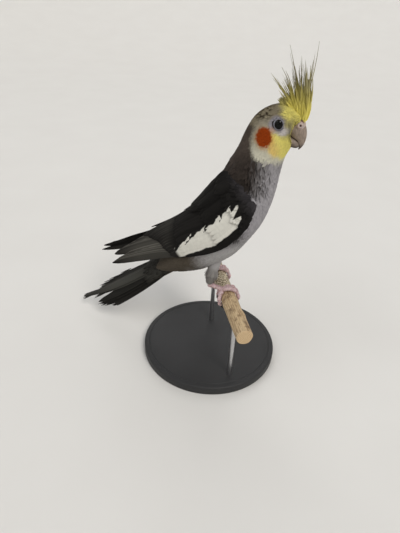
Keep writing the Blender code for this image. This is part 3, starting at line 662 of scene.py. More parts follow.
class Nodes:
    """The nodes of one material."""

    def __init__(self, name):
        self.material = bpy.data.materials.new(name)
        self.material.use_nodes = True
        self.tree = self.material.node_tree
        self.shader = self.tree.nodes["Principled BSDF"]

    def add(self, kind, settings=None, inputs=None, output=0):
        """A new node with these settings and inputs, as the value of one of its outputs."""
        node = self.tree.nodes.new(kind)
        for key, value in (settings or {}).items():
            if key == "curve":
                points = node.mapping.curves[0].points
                while len(points) < len(value):
                    points.new(0.5, 0.5)
                for point, place in zip(points, value):
                    point.location = place
                node.mapping.update()
            else:
                setattr(node, key, value)
        for key, value in (inputs or {}).items():
            if isinstance(value, Value):
                self.tree.links.new(value.socket, node.inputs[key])
            else:
                node.inputs[key].default_value = value
        return Value(self, node.outputs[output])

    def attribute(self, name):
        """A vector that the mesh keeps at each point."""
        return self.add("ShaderNodeAttribute", {"attribute_name": name}, {}, 1)

    def place(self):
        """The place in the part's frame, in millimetres."""
        return self.add("ShaderNodeTexCoord", {}, {}, 3).scaled(1000.0)

    def noise(self, where, scale, detail=2.0, roughness=0.5, output=0):
        return self.add(
            "ShaderNodeTexNoise", {},
            {"Vector": where, "Scale": scale, "Detail": detail, "Roughness": roughness}, output
        )

    def cell_edges(self, where, scale):
        """The distance to the nearest edge between cells."""
        return self.add(
            "ShaderNodeTexVoronoi", {"feature": "DISTANCE_TO_EDGE"}, {"Vector": where, "Scale": scale}
        )

    def mix(self, low, high, factor):
        """From the first colour to the second as the factor goes from 0 to 1."""
        low, high = (c if isinstance(c, Value) else (*c, 1.0) for c in (low, high))
        return self.add("ShaderNodeMix", {"data_type": "RGBA"}, {0: factor, 6: low, 7: high}, 2)

    def shaded(self, colour, factor):
        """A colour times a number."""
        colour = colour if isinstance(colour, Value) else (*colour, 1.0)
        grey = self.add("ShaderNodeCombineColor", {}, {0: factor, 1: factor, 2: factor})
        kind = {"data_type": "RGBA", "blend_type": "MULTIPLY"}
        return self.add("ShaderNodeMix", kind, {0: 1.0, 6: colour, 7: grey}, 2)

    def bump(self, height, strength, distance):
        return self.add(
            "ShaderNodeBump", {}, {"Height": height, "Strength": strength, "Distance": distance * MM}
        )

    def finish(self, colour, roughness, bump=None, **constants):
        """The material with these inputs of its shader; the constants are named after their sockets."""
        for key, value in (("Base Color", colour), ("Roughness", roughness), ("Normal", bump)):
            if isinstance(value, Value):
                self.tree.links.new(value.socket, self.shader.inputs[key])
            elif value is not None:
                self.shader.inputs[key].default_value = value if key == "Roughness" else (*value, 1.0)
        for key, value in constants.items():
            self.shader.inputs[key.replace("_", " ").title().replace("Ior", "IOR")].default_value = value
        return self.material


# The plumage's and the face's colours.
BREAST = (0.310, 0.298, 0.315)
BELLY = (0.335, 0.328, 0.330)
THIGH = (0.180, 0.168, 0.156)
NECK_BACK = (0.034, 0.027, 0.023)
NECK_SIDE = (0.125, 0.117, 0.118)
# The vent's colour holds painted shade as well as its own darker grey.
VENT_AND_SHADE = (0.072, 0.060, 0.046)
LEG = (0.43, 0.40, 0.365)
MANTLE = (0.0120, 0.0100, 0.0085)
NAPE = (0.070, 0.055, 0.045)
CROWN = (0.230, 0.196, 0.130)
FLECK = (0.045, 0.034, 0.022)
EAR = (0.330, 0.300, 0.230)
WHITE = (0.530, 0.510, 0.410)
YELLOW = (0.720, 0.640, 0.175)
WARM_YELLOW = (0.690, 0.510, 0.170)
ORANGE = (0.260, 0.040, 0.0045)
EYE_SKIN = (0.265, 0.250, 0.285)
NECK_DARK = (0.130, 0.122, 0.124)
NECK_PALE = (0.370, 0.360, 0.370)
LORE = (0.270, 0.240, 0.125)
PALE_SKIN = (0.500, 0.470, 0.470)
PATCH_EDGE = (0.520, 0.250, 0.060)


def markings(n, spot):
    """The colour of the body, neck and head at a place, in millimetres of the bird's own frame."""
    warp = n.noise(spot, 0.22, 3.0, 0.6, 1).scaled(5.0, (-2.5, -2.5, -2.5))
    moved = n.add("ShaderNodeVectorMath", {"operation": "ADD"}, {0: spot, 1: warp})
    x, _, z = moved.xyz()
    fixed_x, fixed_y, fixed_z = spot.xyz()
    side = abs(fixed_y)

    def oval(cx, cz, rx, rz, soft=0.12, shake=0.35):
        dx = (fixed_x + (x - fixed_x) * shake - cx) / rx
        dz = (fixed_z + (z - fixed_z) * shake - cz) / rz
        return 1 - ((dx * dx + dz * dz) ** 0.5).step(1 - soft, 1 + soft)

    mottle = n.noise(spot, 0.45, 2.0)
    colour = n.mix(BREAST, BELLY, z.step(75, 45))
    # Darker towards the vent and under the tail: partly its own darker feathers, partly painted shade under
    # the wings.
    colour = n.mix(colour, VENT_AND_SHADE, (x + z * 0.25).step(2, -19))
    colour = n.mix(colour, THIGH, (1 - z.step(20, 29)) * x.step(-32, -26) * side.step(8, 12) * 0.9)
    colour = n.mix(colour, LEG, (1 - z.step(6, 13)) * x.step(-32, -26) * 0.8)
    neck = n.mix(NECK_DARK, NECK_PALE, mottle.step(0.3, 0.7))
    colour = n.mix(colour, neck, z.step(104, 117) * 0.55)
    # The dark back comes up the nape, with a mottled edge.
    back = 13.8 - x + (z - 100) * 0.08 + (mottle - 0.5) * 10
    colour = n.mix(colour, NECK_SIDE, (back + 8.5).step(-4.0, 5.0) * z.step(92, 101) * 0.85)
    dark = n.mix(MANTLE, NECK_BACK, z.step(96, 114))
    colour = n.mix(colour, dark, back.step(-6.5, 3.5) * z.step(50, 66))
    colour = n.mix(colour, NAPE, (z - 0.55 * x).step(111, 127))
    # The crown is tan grey with dark flecks.
    top = (z + 0.18 * x).step(139.5, 144.5)
    colour = n.mix(colour, CROWN, top)
    fleck = n.noise(spot.scaled((0.5, 0.5, 1.1)), 0.8, 1.0)
    colour = n.mix(
        colour, FLECK, fleck.step(0.43, 0.56) * (z + 0.25 * x).step(144.5, 149.5) * (1 - x.step(19, 25))
    )
    colour = n.mix(colour, FLECK, (1 - side.step(2.0, 7.0)) * z.step(132, 140) * (1 - x.step(17, 24)) * 0.6)
    # The pale ring behind and under the ear patch.
    pale = n.mix(EAR, WHITE, z.step(134, 125))
    colour = n.mix(colour, pale, oval(19.8, 132.6, 9.2, 12.4, 0.22, 0.8) * side.step(3.0, 7.5))
    throat = (z - 118.4 + (x - 28) * 0.26).step(-1.8, 2.6) * x.step(13.5, 18) * (1 - z.step(126, 130))
    colour = n.mix(colour, WHITE, throat)
    # Yellow: the forehead down to a line over the eye, and the cheek down to the chin.
    forehead = (x + 0.67 * z - 127.9).step(-2.8, 2.8) * z.step(139, 142)
    cheek = x.step(20.6, 24.4) * (1 - z.step(138.2, 140.6)) * (z + 0.40 * (x - 22)).step(123.4, 128.4)
    front = x.step(30.5, 33.5) * z.step(124.5, 128)
    yellow = forehead.at_least(cheek).at_least(front)
    warm = n.mix(YELLOW, WARM_YELLOW, oval(22.0, 128.0, 6.5, 8.0, 0.5))
    colour = n.mix(colour, warm, yellow)
    # Greyer before the eye, and the bare ring round it.
    lore = oval(33.0, 140.6, 4.4, 4.6, 0.6) * side.step(3.5, 6)
    colour = n.mix(colour, LORE, lore * 0.85)
    pale_skin = oval(30.0, 139.4, 2.8, 2.4, 0.5, 0.15) * side.step(5, 8)
    colour = n.mix(colour, PALE_SKIN, pale_skin * 0.9)
    ring = oval(25.7, 142.7, 4.6, 4.8, 0.22, 0.15) * side.step(6, 9)
    colour = n.mix(colour, EYE_SKIN, ring * 0.9)
    patch = oval(19.0, 135.6, 5.2, 5.9, 0.14, 0.35) * side.step(5.0, 8.0)
    glow = oval(19.4, 135.0, 6.5, 7.0, 0.2, 0.4) * side.step(5.0, 8.0)
    colour = n.mix(colour, PATCH_EDGE, glow * 0.4)
    return n.mix(colour, ORANGE, patch)


def barbs(vane, count, slope):
    """Fine ridges that run out and forward from the shaft."""
    u, t, _ = vane.xyz()
    return ((t * count - abs(u) * slope) * (2 * math.pi)).sine() * 0.5 + 0.5


def plumage_finish(name, depth=0.22):
    """The skin's and the body feathers' finish."""
    n = Nodes(name)
    vane = n.attribute("vane")
    u, t, random = vane.xyz()
    colour = markings(n, n.attribute("spot"))
    colour = n.shaded(colour, 0.86 + random * 0.22 + t.step(0.3, 1.0) * 0.10)
    height = barbs(vane, 9.0, 2.0) * 0.6 + (1 - abs(u)) * 0.4
    return n.finish(
        colour, 0.85, n.bump(height, depth, 0.08), sheen_weight=0.02, sheen_roughness=0.5,
        specular_ior_level=0.06
    )


WING_BLACK = (0.0085, 0.0078, 0.0072)
WING_WHITE = (0.660, 0.645, 0.585)
WING_BEND = (0.034, 0.031, 0.034)
PRIMARY_GREY = (0.058, 0.055, 0.048)
PRIMARY_TIP = (0.020, 0.018, 0.016)
PRIMARY_EDGE = (0.100, 0.095, 0.082)
TAIL_GREY = (0.040, 0.039, 0.034)
TAIL_BLACK = (0.0085, 0.0080, 0.0065)
TAIL_TIP = (0.014, 0.013, 0.011)
TAIL_EDGE = (0.070, 0.066, 0.056)
# The white patch's lower and upper edges: places across the wing by places along it.
WHITE_LOW = (
    (0.0, 0.9), (0.115, 0.35), (0.125, 0.27), (0.14, 0.17), (0.18, 0.135), (0.227, 0.13), (0.27, 0.10),
    (0.306, 0.095), (0.348, 0.08), (0.386, 0.055), (0.409, 0.03), (0.44, 0.0), (1.0, 0.0),
)
WHITE_HIGH = (
    (0.0, 0.30), (0.115, 0.38), (0.152, 0.43), (0.192, 0.46), (0.23, 0.44), (0.256, 0.41), (0.311, 0.41),
    (0.342, 0.39), (0.379, 0.34), (0.406, 0.28), (0.459, 0.15), (0.475, 0.06), (0.49, 0.0), (1.0, 0.0),
)


def wing_finish():
    """Black wing feathers with the white patch, and grey long ones with pale edges."""
    n = Nodes("wing_feathers")
    vane = n.attribute("vane")
    u, t, random = vane.xyz()
    row, share, long = n.attribute("fold").xyz()
    place = row / 9.0

    def edge(points):
        return n.add("ShaderNodeFloatCurve", {"curve": points}, {"Factor": 1.0, "Value": place})

    # The white ends above in tongues, each with its steep side towards the bend.
    wander = n.noise(n.attribute("spot"), 0.16, 2.0)
    phase = row * 1.6 + share * 2.0 + wander * 1.6
    tongue = phase.math("FRACT", phase)
    above = (share - edge(WHITE_LOW) + (wander - 0.5) * 0.06).step(-0.010, 0.010)
    below = (edge(WHITE_HIGH) - share + (0.5 - tongue) * 0.11).step(-0.010, 0.010)
    fork = (abs(share - 0.275) - (1.55 - row) * 0.17).step(-0.01, 0.01)
    inside = row.step(1.0, 1.1) * (1 - (row - share * 0.35).step(3.96, 4.12))
    white = above * below * inside * fork
    black = n.mix(WING_BLACK, WING_BEND, row.step(1.1, 0.1) * 0.8)
    colour = n.shaded(black, 0.75 + random * 0.6)
    grey = n.mix(PRIMARY_GREY, PRIMARY_TIP, t.step(0.6, 1.0))
    edged = n.mix(grey, PRIMARY_EDGE, u.step(0.72, 0.95) * (1 - t.step(0.85, 1.0)))
    lower = row.step(4.0, 4.7) * (1 - share.step(0.30, 0.62)) * long.step(0.0, 0.2) * 0.85
    colour = n.mix(colour, n.shaded(edged, 0.75 + random * 0.5), (long * row.step(3.9, 4.5)).at_least(lower))
    streak = n.noise(n.attribute("spot").scaled((0.3, 0.3, 0.9)), 1.6, 2.0)
    shade = n.shaded(WING_WHITE, 0.80 + streak * 0.22 + (random - 0.5) * 0.1)
    colour = n.mix(colour, shade, white)
    shaft = (1 - abs(u).step(0.02, 0.10)) * 0.5
    height = barbs(vane, 34.0, 4.0) * 0.35 + shaft
    return n.finish(colour, 0.68, n.bump(height, 0.3, 0.10), specular_ior_level=0.07)


def tail_finish():
    """Tail feathers: grey in the middle above, nearly black outside and below."""
    n = Nodes("tail_feathers")
    vane = n.attribute("vane")
    u, t, random = vane.xyz()
    _, pair, _ = n.attribute("fold").xyz()
    colour = n.mix(TAIL_GREY, TAIL_BLACK, pair.step(0.5, 2.4))
    colour = n.mix(colour, TAIL_TIP, t.step(0.6, 1.0))
    edge = abs(u).step(0.75, 0.98)
    colour = n.mix(colour, TAIL_EDGE, edge * 0.3)
    colour = n.shaded(colour, 0.75 + random * 0.5)
    shaft = 1 - abs(u).step(0.02, 0.09)
    height = barbs(vane, 60.0, 5.0) * 0.35 + shaft * 0.6
    return n.finish(colour, 0.62, n.bump(height, 0.3, 0.10), specular_ior_level=0.08)


def crest_finish():
    """Yellow at the root, olive grey towards the fine tips."""
    n = Nodes("crest_plumes")
    vane = n.attribute("vane")
    _, _, random = vane.xyz()
    x, _, z = n.attribute("spot").xyz()
    rise = z + (random - 0.5) * 6 + (x - 34) * 0.25
    pale = x.step(33.5, 37.5)
    colour = n.mix((0.72, 0.63, 0.140), (0.50, 0.435, 0.125), rise.step(151, 160))
    high = n.mix((0.165, 0.140, 0.062), (0.350, 0.315, 0.165), pale)
    colour = n.mix(colour, (0.34, 0.30, 0.12), (1 - x.step(25, 30)) * 0.8)
    colour = n.mix(colour, high, rise.step(158, 168))
    colour = n.mix(colour, (0.205, 0.180, 0.110), rise.step(172, 182))
    colour = n.shaded(colour, 0.80 + random * 0.35)
    height = barbs(vane, 40.0, 4.0)
    return n.finish(colour, 0.75, n.bump(height, 0.3, 0.08), specular_ior_level=0.15)


def horn_finish(name, pale, dark, tip):
    """Horn: streaked along its length, darker at the tip."""
    n = Nodes(name)
    where = n.place()
    _, _, z = where.xyz()
    streak = n.noise(where.scaled((1.2, 1.2, 0.35)), 1.0, 4.0, 0.6)
    grain = n.noise(where, 4.0, 3.0)
    colour = n.mix(pale, dark, streak.step(0.35, 0.7))
    colour = n.mix(colour, tip, (z - BIRD_UP).step(131.5, 126.0))
    colour = n.shaded(colour, 0.88 + grain * 0.24)
    bump = n.bump(streak * 0.7 + grain * 0.3, 0.25, 0.15)
    return n.finish(colour, 0.45 + grain * 0.15, bump, specular_ior_level=0.3)


def bare_finish(name, pale, dark, scale, depth, shadow=None):
    """Bare skin with small scales."""
    n = Nodes(name)
    where = n.place()
    edges = n.cell_edges(where, scale)
    # Random darker patches: on the feet they also stand in for painted shade between the toes.
    blotch_and_shade = n.noise(where, 0.35, 3.0)
    colour = n.mix(pale, dark, blotch_and_shade.step(0.35, 0.7))
    # The grooves between the scales are painted with shade: the shadow colour where one is given, else the
    # dark one.
    colour = n.mix(shadow or dark, colour, edges.step(0.0, 0.12) * 0.6 + 0.4)
    # The nostrils' openings are painted dark, as the shade inside them.
    hole_shade, _, _ = n.attribute("hollow").xyz()
    colour = n.mix(colour, (0.045, 0.026, 0.023), hole_shade)
    bump = n.bump(edges.step(0.0, 0.2) + n.noise(where, 5.0, 2.0) * 0.3, 0.6, depth)
    return n.finish(colour, 0.55, bump, subsurface_weight=0.1, specular_ior_level=0.4)


def wood_finish():
    """Peeled tan wood with long grain, rubbed dark patches and some bark left at the far end."""
    n = Nodes("perch_wood")
    _, along, forward = branch_frame()
    where = n.place()

    def dot(direction):
        return n.add("ShaderNodeVectorMath", {"operation": "DOT_PRODUCT"}, {0: where, 1: tuple(direction)}, 1)

    middle = metres(branch_frame()[0]) / MM
    length = dot(along) - float(middle @ along)
    across = dot(forward)
    height = dot((0, 0, 1))
    joined = n.add("ShaderNodeCombineXYZ", {}, {0: across, 1: length * 0.07, 2: height})
    grain = n.noise(joined, 1.3, 5.0, 0.65)
    fine = n.noise(joined, 4.5, 3.0)
    patches = n.noise(where, 0.11, 3.0, 0.6)
    colour = n.mix((0.56, 0.42, 0.25), (0.25, 0.155, 0.075), grain.step(0.40, 0.66))
    colour = n.mix(colour, (0.70, 0.57, 0.39), fine.step(0.52, 0.70) * 0.65)
    colour = n.mix(colour, (0.135, 0.080, 0.042), patches.step(0.55, 0.70) * 0.75)
    # Chewed bark: pale flecks on brown, near the far foot.
    speck = n.noise(where, 0.9, 3.0, 0.7)
    bark = n.mix((0.145, 0.105, 0.060), (0.66, 0.58, 0.43), speck.step(0.44, 0.56))
    ragged = length + (n.noise(where, 0.25, 2.0) - 0.5) * 16
    colour = n.mix(colour, bark, ragged.step(-10, -5))
    # The sawn ends show rings.
    out, up = across - float(middle @ forward), height - float(middle[2])
    radius = (out * out + up * up) ** 0.5
    rings = ((radius + grain * 0.8) * 5.5).sine() * 0.5 + 0.5
    sawn = n.mix((0.62, 0.47, 0.29), (0.44, 0.30, 0.16), rings)
    far_end = length.step(BRANCH_FAR - 0.7, BRANCH_FAR - 0.3)
    ends = (1 - length.step(BRANCH_NEAR + 0.3, BRANCH_NEAR + 0.7)) + far_end
    colour = n.mix(colour, sawn, ends)
    bump = n.bump(grain * 0.6 + fine * 0.2 + speck * ragged.step(-10, -5) * 0.8, 0.6, 0.5)
    return n.finish(colour, 0.62 + grain * 0.2, bump, specular_ior_level=0.3)


def stand_finish():
    """Satin black with faint wear."""
    n = Nodes("satin_black")
    where = n.place()
    speckle = n.noise(where, 2.2, 3.0)
    wear = n.noise(where, 0.06, 2.0)
    colour = n.mix((0.018, 0.018, 0.019), (0.030, 0.030, 0.031), speckle)
    return n.finish(
        colour, 0.46 + speckle * 0.10 + wear * 0.12, n.bump(speckle, 0.12, 0.05), specular_ior_level=0.3
    )


def rod_finish():
    """Steel brushed along its length."""
    n = Nodes("brushed_steel")
    where = n.place()
    brushed = n.noise(where.scaled((6.0, 6.0, 0.2)), 1.0, 3.0)
    colour = n.mix((0.50, 0.50, 0.51), (0.62, 0.62, 0.63), brushed)
    return n.finish(colour, 0.22 + brushed * 0.16, n.bump(brushed, 0.15, 0.03), metallic=1.0)


def eye_finish():
    """A dark brown iris round a black pupil, under a clear wet coat."""
    n = Nodes("eye")
    gaze, _, _ = n.attribute("spot").xyz()
    fibres = n.noise(n.place(), 1.8, 3.0)
    iris = n.mix((0.014, 0.008, 0.006), (0.028, 0.015, 0.009), fibres)
    colour = n.mix(iris, (0.002, 0.002, 0.002), gaze.step(0.76, 0.79))
    colour = n.mix((0.012, 0.009, 0.009), colour, gaze.step(0.42, 0.50))
    return n.finish(colour, 0.06 + fibres * 0.03, None, specular_ior_level=0.16)


def floor_finish():
    """Matt off-white paper."""
    n = Nodes("floor")
    cloud = n.noise(n.place(), 0.01, 3.0)
    colour = n.mix((0.66, 0.645, 0.62), (0.70, 0.69, 0.665), cloud)
    return n.finish(colour, 0.9)


# The pieces.


def settle(made, finish, slot, *stands_for):
    """Gives a piece its material and its body, and hides the CAD nodes that it stands for. The slot is not
    used.
    """
    made.data.materials.clear()
    made.data.materials.append(finish)
    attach(made, "root")
    if stands_for:
        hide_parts(*stands_for)
    return made


def wing_core(side, inset):
    """Rings of points round the flesh of a folded wing."""
    surface = wing_surface(side)
    rows, across = 26, 14
    rings = []
    for i in range(rows):
        share = i / (rows - 1)
        s = WING_CORE_END * share
        end = min(1.0, (1 - share) * 3 + 0.16, 0.35 + share * 3)
        v = np.linspace(0.02, 0.98, across)
        outer = surface(np.full(across, s), v, -inset)
        inner = surface(np.full(across, s), 0.03 + 0.94 * v, -WING_CORE_DEEP * end)
        rings.append(np.concatenate([outer, inner[::-1]]))
    return np.array(rings)


def build_skin(finish):
    """One skin for the head, neck, torso, thighs, wing flesh and tail root."""
    rings, sides = 150, 72
    s = np.linspace(0, len(RIBS) - 1, rings)[:, None] + np.zeros(sides)
    inset = np.interp(s, DEPTH_RIBS, COAT_DEPTHS) + FACE_DRAWN * face_retreat(s, angles(sides)[None])
    parts = [closed_grid("skin", body_surface(s, np.zeros((rings, 1)) + angles(sides), -inset))]
    for word, side in SIDES:
        parts.append(closed_grid("wing_flesh", wing_core(side, 1.0)))
        share, around = np.meshgrid(np.linspace(0, 1, 24), angles(24), indexing="ij")
        parts.append(closed_grid("thigh_flesh", thigh_surface(word)(share, around, -0.7)))
    reach, around = np.meshgrid(np.linspace(-4, 20, 20), angles(32), indexing="ij")
    parts.append(closed_grid("rump", rump_surface(reach, around, -0.8)))
    skin = fuse("skin", parts, 0.62, 4)
    places = places_of(skin)
    set_attribute(skin, "spot", places)
    set_attribute(skin, "vane", np.tile([0.0, 0.5, 0.5], (len(places), 1)))
    return settle(skin, finish, "grey_plumage", "head", "neck", "torso", "thigh_right", "thigh_left")


# Two steps that fill a square evenly, with no rows to be seen.
EVEN_STEPS = (0.7548776662466927, 0.5698402909980532)


def area_table(surface, first, second):
    """A surface's area at each point of a grid per unit of both places, and its length per unit of one."""
    a, b = np.meshgrid(first, second, indexing="ij")
    step = 0.01
    flat = np.zeros_like(a)
    along = (surface(a + step, b, flat) - surface(a - step, b, flat)) / (2 * step)
    across = (surface(a, b + step, flat) - surface(a, b - step, flat)) / (2 * step)
    return np.linalg.norm(np.cross(along, across), axis=-1), np.linalg.norm(along, axis=-1)


def scatter(surface, first, second, spacing):
    """Evenly spread places on a surface, this far apart in millimetres. spacing(a, b) gives how far."""
    area, speed = area_table(surface, first, second)
    a, b = np.meshgrid(first, second, indexing="ij")
    weight = area / spacing(a, b) ** 2
    first_step, second_step = first[1] - first[0], second[1] - second[0]
    cell = first_step * second_step
    count = int(weight.sum() * cell)
    i = np.arange(count)
    one, two = ((0.5 + i * step) % 1 for step in EVEN_STEPS)
    rows = np.concatenate([[0], np.cumsum(weight.sum(1))])
    spot = np.interp(one, rows / rows[-1], np.arange(len(rows)) - 0.5)
    row = np.clip(np.round(spot).astype(int), 0, len(first) - 1)
    places = np.zeros((count, 2))
    places[:, 0] = first[0] + spot * first_step
    for r in np.unique(row):
        here = row == r
        table = np.concatenate([[0], np.cumsum(weight[r])])
        spot = np.interp(two[here], table / table[-1], np.arange(len(table)) - 0.5)
        places[here, 1] = second[0] + spot * second_step
    column = np.round((places[:, 1] - second[0]) / second_step).astype(int)
    column = np.clip(column, 0, len(second) - 1)
    order = np.argsort(places[:, 0])
    return places[order], speed[row, column][order]


TUFT_STATIONS = (0.0, 0.3, 0.6, 0.84, 1.0)
TUFT_SHAPE = (0.45, 0.9, 1.0, 0.72, 0.14)
FACE_STATIONS = (0.0, 0.45, 0.8, 1.0)
FACE_SHAPE = (0.5, 1.0, 0.8, 0.16)


def line_surface(lines, bow, faces):
    """Feather i's line at share t, bowed along bow by a share of its length. Heights stand off its face."""
    length = np.linalg.norm(lines[:, 1] - lines[:, 0], axis=1)

    def surface(i, t, height):
        n = np.clip(np.round(np.asarray(i)).astype(int), 0, len(lines) - 1)
        sideways = np.asarray(i, float) - n
        start, stop = lines[n, 0], lines[n, 1]
        t = np.asarray(t, float)[..., None]
        bent = bow[n] * length[n][..., None] * np.sin(math.pi * np.clip(t, 0, 1))
        across = unit(np.cross(stop - start, faces[n]))
        out = faces[n] * np.asarray(height, float)[..., None]
        return start + (stop - start) * t + bent + out + across * sideways[..., None] * 10

    return surface


def line_feathers(lines, bow, faces, halves, stations, shape, **settings):
    """Feathers along the lines. Each one's root place is its number and zero."""
    order = np.arange(len(lines), dtype=float)
    root = np.stack([order, 0 * order], 1)
    tip = np.stack([order, 0 * order + 1], 1)
    return vanes(line_surface(lines, bow, faces), root, tip, halves, (0.0, 0.0), stations, shape, **settings)


def clear_of_eyes(points, reach, ahead=0.0):
    """Which points are further than this from the middle of each eye."""
    keep = np.ones(len(points), bool)
    for _, side in SIDES:
        middle = mirrored(EYE_PLACE, side) + unit(mirrored(EYE_OUT, side)) * 3.0 + (ahead, 0.0, 0.0)
        keep &= np.linalg.norm(points - middle, axis=1) > reach
    return keep


def lore_coat(skin, finish):
    """Short feathers on the drawn back sides of the face, between the eyes and the bill."""
    places = places_of(skin)
    normals = np.zeros(len(places) * 3, np.float32)
    skin.data.vertex_normals.foreach_get("vector", normals)
    normals = normals.reshape(-1, 3).astype(float)
    x, y, z = places.T
    bare = (x > 30.8) & (np.abs(y) > 2.8) & (z > 127.5) & (z < 148.0) & clear_of_eyes(places, 4.4)
    start = np.repeat(places[bare], 3, axis=0)
    out = np.repeat(normals[bare], 3, axis=0)
    start = start + (rng.random(start.shape) - 0.5) * 0.6
    back = np.array([-1.0, 0.0, -0.2]) + (rng.random(start.shape) - 0.5) * 0.5
    back[:, 1] += 0.35 * np.sign(start[:, 1])
    back = unit(back - out * (back * out).sum(-1, keepdims=True))
    length = 1.3 + 1.0 * rng.random((len(start), 1))
    lines = np.stack([start - out * 0.4, start + back * length + out * 0.30], 1)
    half = 0.26 + 0.08 * rng.random(len(lines))
    batch = line_feathers(lines, out * 0.12, out, half, FACE_STATIONS, FACE_SHAPE,
                          thick=0.12, camber=0.16, fray=0.25, follow=0.35)

    def unwrap(root):
        x, _, z = lines[root[:, 0].astype(int), 0].T
        return np.stack([(x - 28) / 14, (z - 124) / 28], 1)

    feather_piece("coat_lores", [batch], finish, "yellow_plumage", unwrap, soft=0.75)


def body_coat(finish, wing_trees):
    """The small feathers of the body, neck and head, which lie from the face to the tail."""
    places, speed = scatter(
        body_surface, np.linspace(0.05, 18.93, 240), angles(180, 0.5),
        lambda s, turn: np.interp(s, COAT_RIBS, COAT_SPACING)
    )
    s, turn = places.T
    roots = body_surface(s, turn, np.zeros(len(s)))
    raised = body_surface(s, turn, np.ones(len(s)))
    keep = clear_of_eyes(roots, 4.35, 0.9) & (face_retreat(s, turn) < 0.9)
    # Nothing grows under the folded wings.
    for i in np.flatnonzero(keep & (s < WINGS_TO_RIB)):
        ray = Vector(2 * roots[i] - raised[i]), Vector(raised[i] - roots[i]), WINGS_WITHIN
        keep[i] = all(tree.ray_cast(*ray)[0] is None for tree in wing_trees)
    s, turn, speed, roots = s[keep], turn[keep], speed[keep], roots[keep]
    count = len(s)
    length = np.interp(s, COAT_RIBS, COAT_LENGTH) * (0.85 + 0.3 * rng.random(count))
    half = np.interp(s, COAT_RIBS, COAT_HALF) * (0.85 + 0.3 * rng.random(count))
    deep = np.interp(s, DEPTH_RIBS, COAT_DEPTHS)
    stand = np.interp(s, STAND_RIBS, COAT_STAND)
    # The plumage of the head stands up a little along the crown.
    crown = soft_step(s, 12.5, 14.5) * (1 - soft_step(s, 17.0, 18.5))
    crown = crown * soft_step(np.cos(turn), 0.2, 0.9) * 0.9
    drawn = FACE_DRAWN * face_retreat(s, turn)
    drawn_tip = FACE_DRAWN * face_retreat(s - length / speed, turn)
    out = stand * (0.5 + rng.random(count) * 1.2) - 0.15 + crown - drawn_tip - 0.4 * np.minimum(drawn, 1.0)
    rise = np.stack([-deep - 0.15 - drawn, out], 1)
    drift = (rng.random(count) - 0.5) * 0.16
    tip = np.stack([s - length / speed, turn + drift], 1)
    root = np.stack([s, turn], 1)
    fine = s > FINE_COAT_FROM
    body, head = (
        vanes(body_surface, root[cut], tip[cut], half[cut], rise[cut], stations, shape, thick=0.14,
              camber=0.16, fray=0.14, follow=0.35, lean=(rng.random(int(cut.sum())) - 0.5) * 0.10, curve=0.75)
        for cut, stations, shape in ((~fine, TUFT_STATIONS, TUFT_SHAPE), (fine, FACE_STATIONS, FACE_SHAPE))
    )

    # Ruffled feathers on the sides of the neck, where the dark back meets the breast.
    x, y, z = roots.T
    ahead = x - 15.0 - (z - 100) * 0.08
    ruffled = (z > 97) & (z < 120) & (ahead > -6) & (ahead < 9) & (np.abs(y) > 7) & (rng.random(count) < 0.16)
    number = int(ruffled.sum())
    tousled = np.stack([np.full(number, -0.7), 1.1 + 0.9 * rng.random(number)], 1)
    ends = root[ruffled] + np.stack(
        [-5.2 / speed[ruffled] * (0.8 + 0.4 * rng.random(number)), (rng.random(number) - 0.35) * 0.35], 1
    )
    ruffles = vanes(body_surface, root[ruffled], ends, 1.15, tousled, TUFT_STATIONS, TUFT_SHAPE, thick=0.14,
                    camber=0.22, fray=0.3, follow=0.2, lean=(rng.random(number) - 0.3) * 0.9, curve=0.8)

    def unwrap(root):
        return np.stack([turn_share(root[:, 1]), 0.01 + 0.98 * root[:, 0] / 19], 1)

    feather_piece("coat_body", [body, ruffles], finish, "grey_plumage", unwrap, soft=0.88)
    feather_piece("coat_head", [head], finish, "yellow_plumage", unwrap, soft=0.75)


def thigh_coat(finish):
    """The feathers of the thighs, finer towards the heel."""
    for word, _ in SIDES:
        surface = thigh_surface(word)
        places, speed = scatter(
            surface, np.linspace(0.30, 0.99, 40), angles(60, 0.5),
            lambda a, b: np.interp(a, (0.3, 1.0), (0.85, 0.50)),
        )
        share, turn = places.T
        count = len(share)
        length = np.interp(share, (0.3, 1.0), (6.5, 3.0)) * (0.8 + 0.4 * rng.random(count))
        half = np.interp(share, (0.3, 1.0), (0.62, 0.30))
        out = np.interp(share, (0.3, 0.7, 1.0), (1.9, 0.7, 0.1)) * (0.4 + 0.8 * rng.random(count))
        rise = np.stack([np.full(count, -0.9), out], 1)
        tip = np.stack([np.minimum(share + length / speed, 1.10), turn + (rng.random(count) - 0.5) * 0.25], 1)

        def down(share, turn, height, surface=surface, word=word):
            """The thigh's surface, carried on straight past the heel."""
            past = np.maximum(np.asarray(share) - 1.0, 0)[..., None]
            line = leg_points(word)
            return surface(np.minimum(share, 1.0), turn, height) + (line[3] - line[2]) * past * 3

        batch = vanes(down, places, tip, half, rise, TUFT_STATIONS, TUFT_SHAPE, thick=0.14, camber=0.16,
                      fray=0.3, follow=0.3, curve=0.8)
        feather_piece(
            f"coat_thigh_{word}", [batch], finish, "grey_plumage",
            lambda root: np.stack([turn_share(root[:, 1]), 0.01 + 0.98 * root[:, 0]], 1),
            soft=0.8,
        )


LONG_STATIONS = np.array([0, 0.12, 0.26, 0.4, 0.54, 0.67, 0.78, 0.87, 0.94, 0.98, 1.0])
LONG_SHAPE = np.array([0.45, 0.78, 0.94, 1.0, 1.0, 0.97, 0.9, 0.76, 0.54, 0.32, 0.10])
SHORT_STATIONS = np.array([0, 0.2, 0.42, 0.64, 0.82, 0.93, 1.0])
SHORT_SHAPE = np.array([0.5, 0.85, 1.0, 0.98, 0.78, 0.5, 0.14])

